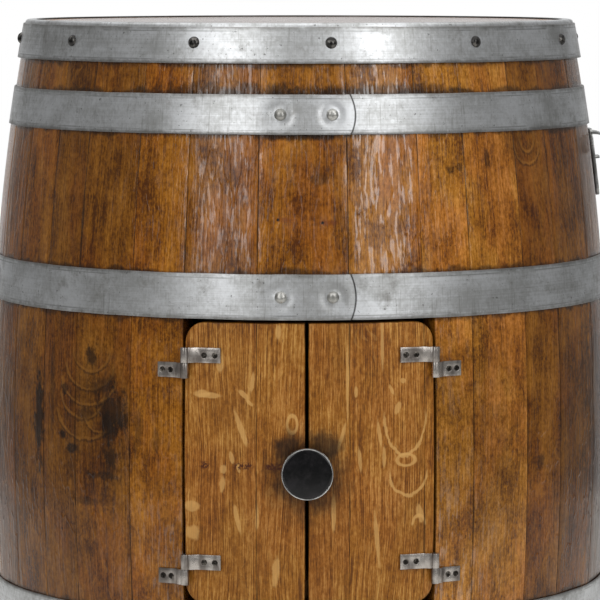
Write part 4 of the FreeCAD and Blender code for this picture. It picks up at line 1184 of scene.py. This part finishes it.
def hoop_mesh(name, low, high, lap, seed, first_turn=-6, first_layer=0.0):
    """A flat hoop as one strip that climbs over its own beginning and ends in a bulging tip."""
    centre = (low + high) / 2
    radius = float(wall_radius(centre))
    tip = degrees_of(LAP_REACH, radius)
    loops, from_tip = [], []
    for turn in lapped_turns(tip, first_turn):
        climb = float(smooth(turn, CLIMB_START, 360 - tip * 0.98))
        section = band_section(low, high, first_layer + (1 - first_layer) * climb)
        heights, prouds = section[:, 0], section[:, 1]
        near_low = 1 - smooth(heights, low, low + SWAY_REACH)
        near_high = smooth(heights, high - SWAY_REACH, high)
        sway = SWAY * (near_low * noise.noise((turn * 0.13, 1, seed))
                       + near_high * noise.noise((turn * 0.13, 9, seed)))
        dent = np.array([hammered(turn + lap, height, seed, FACE_DENTS) for height in heights])
        for rivet_turn in RIVET_TURNS:
            aside = math.radians((turn - rivet_turn + 180) % 360 - 180) * radius
            away = np.hypot(aside, heights - centre)
            dent -= RIVET_DENT * np.exp(-((away - DENT_AWAY) / DENT_WIDE) ** 2)
        across = (heights - centre) / ((high - low) / 2)
        sag = np.degrees(TIP_SAG * across ** 2 / radius)
        azimuth = lap + turn - sag * smooth(turn, 360 + tip - TIP_TURNS, 360 + tip)
        past_tip = (azimuth - lap - tip + sag + 180) % 360 - 180
        from_tip.append(np.radians(past_tip) * radius)
        loops.append((azimuth, wall_radius(heights + sway, prouds + dent), heights + sway))
    azimuth, distance, height = (np.array(values) for values in zip(*loops))
    mesh = strip_mesh(name, azimuth, distance, height, seed, closed=False)
    give(mesh, "tip", "FLOAT", np.array(from_tip))
    give(mesh, "rim", "FLOAT", np.minimum(height - low, high - height))
    return mesh


for end in ("top", "bottom"):
    for kind, seed in (("quarter_hoop", 3), ("bilge_hoop", 4)):
        node = f"{end}_{kind}"
        low, high = (corner.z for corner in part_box(node))
        if end == "bottom":
            seed += 10
        hoop = hoop_mesh(node, low, high, 0, seed)
        place(node + "_shaped", hoop, hoop_zinc, "galvanised_steel", [node])
        print(node, "from", round(low, 4), "to", round(high, 4))

# %% [markdown]
# The head hoops are wider: their outer edge is hammered over the ends of the staves into a flange, which
# leaves a bright shoulder and a wandering crease below it. Five slow noises move the lower edge, the
# crease, the shoulder and the lip of the flange, so no two sections of the ring are alike.

# %% The section of a head hoop
SHOULDER = 4 * MM
FLANGE = 12.5 * MM
CREASE_DROP = 8.0 * MM
CREASE_WIDE = 1.6 * MM
CREASE_DEEP = 0.8 * MM
HEAD_DENTS = 0.25 * MM
EDGE_WANDER = 0.7 * MM          # how far the lower edge, the crease and the lip wander
CREASE_WANDER = 2.2 * MM
LIP_WANDER = 1.4 * MM
SHOULDER_SQUASH = 0.06
CLOSE_ROWS = 7                  # rows one millimetre apart below the shoulder, for the crease
LIP_SOFT = (0.4 * MM, 0.5 * MM)
LIP_POINTS = slice(-9, -6)      # the flange's inner edge, among the points of a section
lean_at_end = math.asin((overall_height - middle) / bend_radius)
head_hoop_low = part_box("top_head_hoop")[0].z


def folded_section(turn, seed):
    """(distance from the axis, height) of points round the head hoop's section at one azimuth."""
    def wander(pace, lane):
        return noise.noise((turn * pace, lane, seed))

    inner, outer = HOOP_GAP, HOOP_GAP + HOOP_THICKNESS
    straight = overall_height - SHOULDER
    centre = (float(wall_radius(overall_height, outer))
              - SHOULDER * (1 - math.sin(lean_at_end)) / math.cos(lean_at_end))
    lowest = head_hoop_low + EDGE_WANDER * wander(0.1, 3)
    heights = np.concatenate([np.linspace(lowest, straight - (CLOSE_ROWS + 1) * MM, 9),
                              straight - MM * np.arange(CLOSE_ROWS, 0, -1)])
    crease = CREASE_DEEP * (1 + wander(0.3, 5))
    crease_at = overall_height - CREASE_DROP + CREASE_WANDER * wander(0.15, 6)
    dents = np.array([hammered(turn, height, seed, HEAD_DENTS) for height in heights])
    dents -= crease * np.exp(-((heights - crease_at) / CREASE_WIDE) ** 2)
    softened_low = heights + HOOP_SOFT * (heights == lowest)
    points = [(float(wall_radius(lowest, inner + HOOP_SOFT)), lowest)]
    points += zip(wall_radius(softened_low, outer) + dents, softened_low)

    squash = 1 - SHOULDER_SQUASH * (1 + wander(0.25, 8))
    angles = np.linspace(lean_at_end, math.pi / 2, 6)
    points += [(centre + SHOULDER * squash * math.cos(angle), straight + SHOULDER * math.sin(angle))
               for angle in angles]
    lip = centre + SHOULDER - FLANGE + LIP_WANDER * wander(0.12, 11)
    points += [(centre - (centre - lip) * share, overall_height) for share in (0.35, 0.7)]
    points += [(lip + LIP_SOFT[0], overall_height), (lip, overall_height - LIP_SOFT[1]),
               (lip, overall_height - HOOP_THICKNESS)]
    thin = SHOULDER - HOOP_THICKNESS
    points += [(centre + thin * math.cos(angle), straight + thin * math.sin(angle)) for angle in angles[::-2]]
    points += [(float(wall_radius(height, inner)), height)
               for height in (straight, (straight + head_hoop_low) / 2, lowest)]
    return np.array(points)


print("a head hoop's section has", len(folded_section(0, 0)), "points")

# %% [markdown]
# The laps of the head hoops are at the back, between nails. Here the ring closes on itself, and the
# lapped end is a short strip that rises out of it. The bottom hoop is the top one turned over.

# %% Head hoops
HEAD_LAP = 168.5
TAIL_START, TAIL_LAYER = 338, -0.8      # where the short strip begins, sunk into the ring


def head_hoop_mesh(name, seed, upside_down):
    """The ring of a head hoop with its lapped end, the right way up or upside down."""
    turns = HEAD_LAP + np.arange(0, 360, TURN_PACE)
    sections = np.array([folded_section(turn, seed) for turn in turns])
    azimuth = np.broadcast_to(turns[:, None], sections.shape[:2])
    mesh = strip_mesh(name, azimuth, sections[:, :, 0], sections[:, :, 1], seed, closed=True)
    # The flange's inner edge is marked like a lap's tip, so the finish paints it dark as shade.
    is_lip = np.zeros(sections.shape[:2], bool)
    is_lip[:, LIP_POINTS] = True
    give(mesh, "tip", "FLOAT", np.where(is_lip, 0.0, 1.0))
    give(mesh, "rim", "FLOAT", np.maximum(sections[:, :, 1] - head_hoop_low, 0))
    edited = bmesh.new()
    edited.from_mesh(mesh)
    shoulder_low = overall_height - SHOULDER
    tail = hoop_mesh("lap", head_hoop_low, shoulder_low, HEAD_LAP, seed + 1, TAIL_START, TAIL_LAYER)
    edited.from_mesh(tail)
    if upside_down:
        bmesh.ops.transform(edited, verts=edited.verts, matrix=Matrix.Diagonal((1, 1, -1, 1)))
        bmesh.ops.translate(edited, verts=edited.verts, vec=(0, 0, 2 * middle))
        bmesh.ops.reverse_faces(edited, faces=edited.faces)
    edited.to_mesh(mesh)
    edited.free()
    return mesh


for end, seed in (("top", 21), ("bottom", 27)):
    node = f"{end}_head_hoop"
    mesh = head_hoop_mesh(node, seed, upside_down=end == "bottom")
    place(node + "_shaped", mesh, hoop_zinc, "galvanised_steel", [node])
    print(node, "has", len(mesh.polygons), "faces")

# %% [markdown]
# ## Round heads
# Rivets, nails, screws and the knob's disc are turned shapes, so a profile is spun about an axis. A
# turned piece is a ring of points for each corner of its profile, closed by a point at both ends. Heads
# that were struck get a few dents, each its own.

# %% Spin a profile
DENT_PACE = 260                 # how quickly dents follow each other, as a scale of the noise


def spun(rings, seat, direction, spokes, seed, dent=0.0):
    """Points and faces of rings spun about an axis; each ring is (radius or radii, rise).

    The first and the last ring have radius 0 and close the shape.
    """
    turn = Vector((0, 0, 1)).rotation_difference(direction).to_matrix()
    angles = np.linspace(0, 2 * math.pi, spokes, endpoint=False)
    points = [seat + turn @ Vector((0, 0, rings[0][1]))]
    for radius, rise in rings[1:-1]:
        radii = np.broadcast_to(radius, spokes)
        for angle, reach in zip(angles, radii):
            local = Vector((reach * math.cos(angle), reach * math.sin(angle), rise))
            push = dent * noise.noise(local * DENT_PACE + Vector((seed, seed, seed))) if rise > 0 else 0
            points.append(seat + turn @ (local + Vector((0, 0, push))))
    points.append(seat + turn @ Vector((0, 0, rings[-1][1])))
    last, faces = len(points) - 1, []
    for spoke in range(spokes):
        beside = (spoke + 1) % spokes
        faces.append([0, 1 + spoke, 1 + beside])
        for ring in range(len(rings) - 3):
            start = 1 + ring * spokes
            faces.append([start + spoke, start + spokes + spoke, start + spokes + beside, start + beside])
        start = 1 + (len(rings) - 3) * spokes
        faces.append([start + spoke, last, start + beside])
    return points, faces


def joined(name, shapes):
    """One mesh of many shapes, with the place of every point stored for its finish; none has a rim or tip."""
    points, faces = [], []
    for shape_points, shape_faces in shapes:
        faces += [[index + len(points) for index in face] for face in shape_faces]
        points += shape_points
    mesh = mesh_of(name, points, faces)
    give(mesh, "board", "FLOAT_VECTOR", [tuple(p) for p in points])
    for distance in ("tip", "rim"):
        give(mesh, distance, "FLOAT", np.ones(len(points)))
    return mesh


print("profiles can be spun")

# %% [markdown]
# Two rivets hold each lap, and a ring of dark nails holds each head hoop. They stand square to the bent
# wall, and each seat is found from the points of its own solid, because the head's top is all that shows.

# %% Rivets and nails
def square_to_wall(points):
    """The outward direction of the wall where a small solid sits."""
    centre = points.mean(0)
    lean = math.asin((centre[2] - middle) / bend_radius)
    flat = Vector((centre[0], centre[1], 0)).normalized()
    return flat * math.cos(lean) + Vector((0, 0, math.sin(lean)))


def seated(points, direction, height):
    """The middle of a head's seat: as far along the axis as the head's top, less its height."""
    centre = Vector(points.mean(0))
    top = max(Vector(point).dot(direction) for point in points)
    return centre + direction * (top - height - centre.dot(direction))


def profile(pairs):
    """A profile given in millimetres: radius, or one radius for each spoke, and rise."""
    return [(radius * MM, rise * MM) for radius, rise in pairs]


STUD_SPOKES = 24
STUD_DENT = 0.5 * MM
RIVET = profile([(0, 4.1), (1.6, 4.05), (3.2, 3.7), (4.6, 2.8), (5.5, 1.6), (6.1, 0.4), (6.2, 0),
                 (3, -0.05), (3, -3.1), (0, -3.1)])
NAIL = profile([(0, 5.6), (1.8, 5.35), (3.5, 4.7), (4.9, 3.6), (5.8, 2.4), (6.1, 1.4), (6.0, 0.5), (5.6, 0),
                (1.7, -0.05), (1.7, -19), (0, -22)])


def studs(node, rings, material, slot):
    """Rebuild every rivet or nail of a node from its profile."""
    shapes = []
    for number, points in enumerate(solids(node)):
        direction = square_to_wall(points)
        seat = seated(points, direction, rings[0][1])
        shapes.append(spun(rings, seat, direction, STUD_SPOKES, number * 3.1, STUD_DENT))
    place(node + "_shaped", joined(node, shapes), material, slot, [node])
    print(node, "made of", len(shapes))


def iron(name, dark, worn, gloss):
    """Dark steel with worn spots."""
    material, bench = new_finish(name)
    where = read(bench, "board")
    blotches = cloud(where * (220, 220, 220), detail=3)
    colour = laid_over(dark, worn, step(blotches, 0.48, 0.66))
    rough = gloss + (blotches - 0.5) * 0.35
    surfaced(bench, Base_Color=colour, Metallic=1.0, Roughness=rough, Normal=raised(blotches, 0.25 * MM))
    return material


nail_iron = iron("nail_iron", paint(58, 57, 56), paint(118, 115, 111), 0.26)
studs("hoop_rivets", RIVET, rivet_zinc, "galvanised_rivet")
studs("hoop_nails", NAIL, nail_iron, "dark_nail")

# %% [markdown]
# Screw heads are flush with the hinge leaves. The slot is the same ring twice, once at the surface and
# once lower down: its radius is long on four spokes and short between them.

# %% Screws
SCREW_SPOKES = 32
ARM_HALF = 15                   # degrees that an arm of the cross takes up on each side of its middle
spoke_turn = np.degrees(np.linspace(0, 2 * math.pi, SCREW_SPOKES, endpoint=False))
to_arm = np.abs((spoke_turn + 45) % 90 - 45)
cross = np.where(to_arm < ARM_HALF, 1.9, 0.75)
SCREW = profile([(0, -1.1), (cross * 0.55, -1.1), (cross, 0.0), (2.6, 0.05), (3.0, -0.1), (3.1, -0.3),
                 (1.6, -1.5), (1.4, -16.5), (0, -18)])


def long_axis(points):
    """Direction of a screw, pointing away from the barrel's axis."""
    centre = points.mean(0)
    spread = np.linalg.svd(points - centre)[2][0]
    outwards = np.array([centre[0], centre[1], 0])
    return Vector(spread * np.sign(spread @ outwards))


screw_steel = iron("screw_steel", paint(56, 52, 48), paint(120, 114, 106), 0.36)
for node in ("left_door_hinge_screws", "right_door_hinge_screws", "frame_screws"):
    shapes = []
    for number, points in enumerate(solids(node)):
        direction = long_axis(points)
        shapes.append(spun(SCREW, seated(points, direction, 0), direction, SCREW_SPOKES, number))
    place(node + "_shaped", joined(node, shapes), screw_steel, "screw_steel", [node])
    print(node, "made of", len(shapes))

# %% [markdown]
# ## Plain pieces with softened edges
# Hinges, the opener, boards and battens already have the right shape, but their edges are razor sharp,
# and a sharp edge catches no light. A copy of each is cleaned of its long triangles and gets a small
# bevel. The boards of a panel touch, so they are told apart by the faces between them: a board is all that
# lies between two such faces.

# %% Boards of a panel
X, Y = 0, 1
SQUARE_ON = 0.9999              # how nearly a seam's face points along its axis
SLIVER = 0.1 * MM ** 2


def boards_of(node, across):
    """A closed bmesh for each board of a panel, whose boards touch side by side along the axis X or Y."""
    source = frame["nodes"][node].data
    seams = sorted({round(face.center[across], 5) for face in source.polygons
                    if abs(face.normal[across]) > SQUARE_ON and face.area > SLIVER})
    found = []
    for number in range(len(seams) + 1):
        edited = bmesh.new()
        edited.from_mesh(source)
        inner = [face.calc_center_median()[across] - face.normal[across] * MM for face in edited.faces]
        others = [face for face, place_across in zip(edited.faces, inner)
                  if np.searchsorted(seams, place_across) != number]
        bmesh.ops.delete(edited, geom=others, context="FACES")
        bmesh.ops.remove_doubles(edited, verts=edited.verts, dist=WELD)
        found.append(edited)
    return found


print("boards can be told apart")

# %% [markdown]
# Broad faces stay flat, as only the bevels should shade round. The grain of each board follows its length,
# or the round of the barrel, and every board starts in another part of the tree.

# %% Copy a node and soften it
BROAD_FACE = 300 * MM ** 2
FLAT_ANGLE = math.radians(1)
FOLD_ANGLE = math.radians(30)
BOARD_TONE = 0.5


def bevelled(edited, soft):
    """Points and faces of each solid of a bmesh, with long triangles dissolved and sharp edges softened."""
    bmesh.ops.dissolve_limit(edited, angle_limit=FLAT_ANGLE, verts=edited.verts, edges=edited.edges)
    folds = [edge for edge in edited.edges
             if len(edge.link_faces) == 2 and edge.calc_face_angle() > FOLD_ANGLE]
    bmesh.ops.bevel(edited, geom=folds, offset=soft, segments=2, profile=0.6, affect="EDGES",
                    clamp_overlap=True)
    edited.verts.index_update()
    for group in islands(edited):
        order = {vertex.index: number for number, vertex in enumerate(group)}
        faces = [[order[vertex.index] for vertex in face.verts] for face in edited.faces
                 if face.verts[0].index in order]
        yield np.array([tuple(vertex.co) for vertex in group]), faces
    edited.free()


def softened(node, soft, material, slot, along="z", across=None):
    """A node's piece with softened edges; its grain runs along an axis, its boards lie across another."""
    whole = [welded(node)] if across is None else boards_of(node, across)
    points, faces, grain, tones = [], [], [], []
    for number, (part, part_faces) in enumerate(part for edited in whole for part in bevelled(edited, soft)):
        x, y, z = part.T
        radius = np.hypot(x, y)
        turn = np.arctan2(x, -y) * radius
        run = {"x": (y, x, z), "y": (x, y, z), "z": (x, z, y), "round": (z, turn, radius)}[along]
        faces += [[index + len(points) for index in face] for face in part_faces]
        points += list(part)
        grain.append(np.stack(run, -1) + number * 0.83)
        tones.append(np.full(len(part), BOARD_TONE * math.sin(number * 2.4)))
    mesh = mesh_of(node, points, faces)
    give(mesh, "board", "FLOAT_VECTOR", np.concatenate(grain))
    give(mesh, "tone", "FLOAT", np.concatenate(tones))
    piece = place(node + "_shaped", mesh, material, slot, [node])
    for polygon in mesh.polygons:
        if polygon.area > BROAD_FACE:
            polygon.use_smooth = False
    return piece


print("faces over", round(BROAD_FACE / MM ** 2), "square mm stay flat")

# %% [markdown]
# Heads and floor are panels of boards, and ledgers and battens are single curved pieces. They are bare
# oak inside the barrel. The bar top is the same kind of panel, turned the other way and lacquered.

# %% Boards, ledgers and battens
BOARD_SOFT = 0.6 * MM
TOP_SOFT = 0.8 * MM
# Slot, grain, and the axis along which the boards lie side by side, of each piece inside the barrel.
INSIDE = {"floor_boards": ("inside_oak", "y", X), "top_head": ("head_oak", "y", X),
          "bottom_head": ("head_oak", "y", X), "floor_ledgers": ("inside_oak", "round", None),
          "left_door_battens": ("inside_oak", "round", None),
          "right_door_battens": ("inside_oak", "round", None)}
for node, (slot, along, across) in INSIDE.items():
    piece = softened(node, BOARD_SOFT, inside_oak, slot, along, across)
    print(piece.name, "has", len(piece.data.polygons), "faces")
softened("bar_top", TOP_SOFT, top_oak, "lacquered_oak", "x", Y)

# %% [markdown]
# ## Hinges, catch and opener
# The hinges are cut from satin steel and folded round their pins. Rubbing leaves some patches of a leaf
# bright and others dull. The magnets, the strike discs and the opener are steel too, with more or less
# polish.

# %% Hinges, catch and opener
def steel(name, bright, dull, gloss):
    """Brushed steel, bright where hands and rags have rubbed it."""
    material, bench = new_finish(name)
    where = read(bench, "board")
    smears = cloud(where * (90, 40, 90), detail=3)
    brushed = cloud(where * (60, 900, 60), detail=2)
    colour = laid_over(dull, bright, step(smears, 0.38, 0.62))
    rough = gloss + (0.5 - smears) * 0.2 + (brushed - 0.5) * 0.1
    surfaced(bench, Base_Color=colour, Metallic=1.0, Roughness=rough,
             Normal=raised(brushed * 0.3 + smears, 0.12 * MM))
    return material


hinge_steel = steel("hinge_steel", paint(196, 189, 182), paint(132, 124, 118), 0.30)
nickel = steel("nickel", paint(205, 203, 198), paint(170, 167, 160), 0.18)
opener_steel = steel("opener_steel", paint(168, 168, 166), paint(120, 119, 117), 0.3)
LEAF_SOFT = 0.35 * MM
CATCH_SOFT = 0.3 * MM
OPENER_SOFT = 0.6 * MM
for node in ("frame_hinge_leaves", "left_door_hinge_leaves", "right_door_hinge_leaves", "hinge_pins"):
    softened(node, LEAF_SOFT, hinge_steel, "hinge_steel")
for node in ("door_magnets", "left_door_strike", "right_door_strike"):
    softened(node, CATCH_SOFT, nickel, "nickel")
softened("bottle_opener", OPENER_SOFT, opener_steel, "opener_steel")
print("hinges, catch and opener done")

# %% [markdown]
# ## Knob
# The knob is a steel cup with a stem, and a disc of black enamel let into it. Enamel is glass melted on
# metal: very smooth, a little crowned, with faint clouds in the black. The disc is left bare.

# %% Knob
KNOB_SOFT = 0.5 * MM
CROWN = 0.7 * MM                # how much prouder the disc is in its middle
DISC_EDGE = 0.3 * MM
DISC_SPOKES = 96
knob_steel = steel("knob_steel", paint(210, 210, 208), paint(160, 160, 158), 0.16)
softened("knob_body", KNOB_SOFT, knob_steel, "knob_steel")
enamel, enamel_bench = new_finish("black_enamel")
where = read(enamel_bench, "board")
clouds = cloud(where * (90, 90, 90), detail=4, rough=0.65)
surfaced(enamel_bench, Base_Color=laid_over(paint(4, 4, 5), paint(24, 22, 24), step(clouds, 0.45, 0.7)),
         Roughness=0.08 + clouds * 0.20, Normal=raised(clouds, 0.05 * MM), Specular_IOR_Level=0.4)
face_low, face_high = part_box("knob_face")
face_radius = (face_high.x - face_low.x) / 2
face_thickness = face_high.y - face_low.y
shares = np.array([0, 0.2, 0.4, 0.6, 0.8, 0.92, 0.985])
rings = [(face_radius * share, face_thickness + CROWN * (1 - share ** 2)) for share in shares]
rings += [(face_radius, face_thickness - DISC_EDGE), (face_radius, 0), (0, 0)]
seat = Vector(((face_low.x + face_high.x) / 2, face_high.y, (face_low.z + face_high.z) / 2))
disc = spun(rings, seat, Vector((0, -1, 0)), DISC_SPOKES, 0)
place("knob_face_shaped", joined("knob_face", [disc]), enamel, "black_enamel", ["knob_face"])
print("knob face", round(2 * face_radius / MM, 1), "mm across")
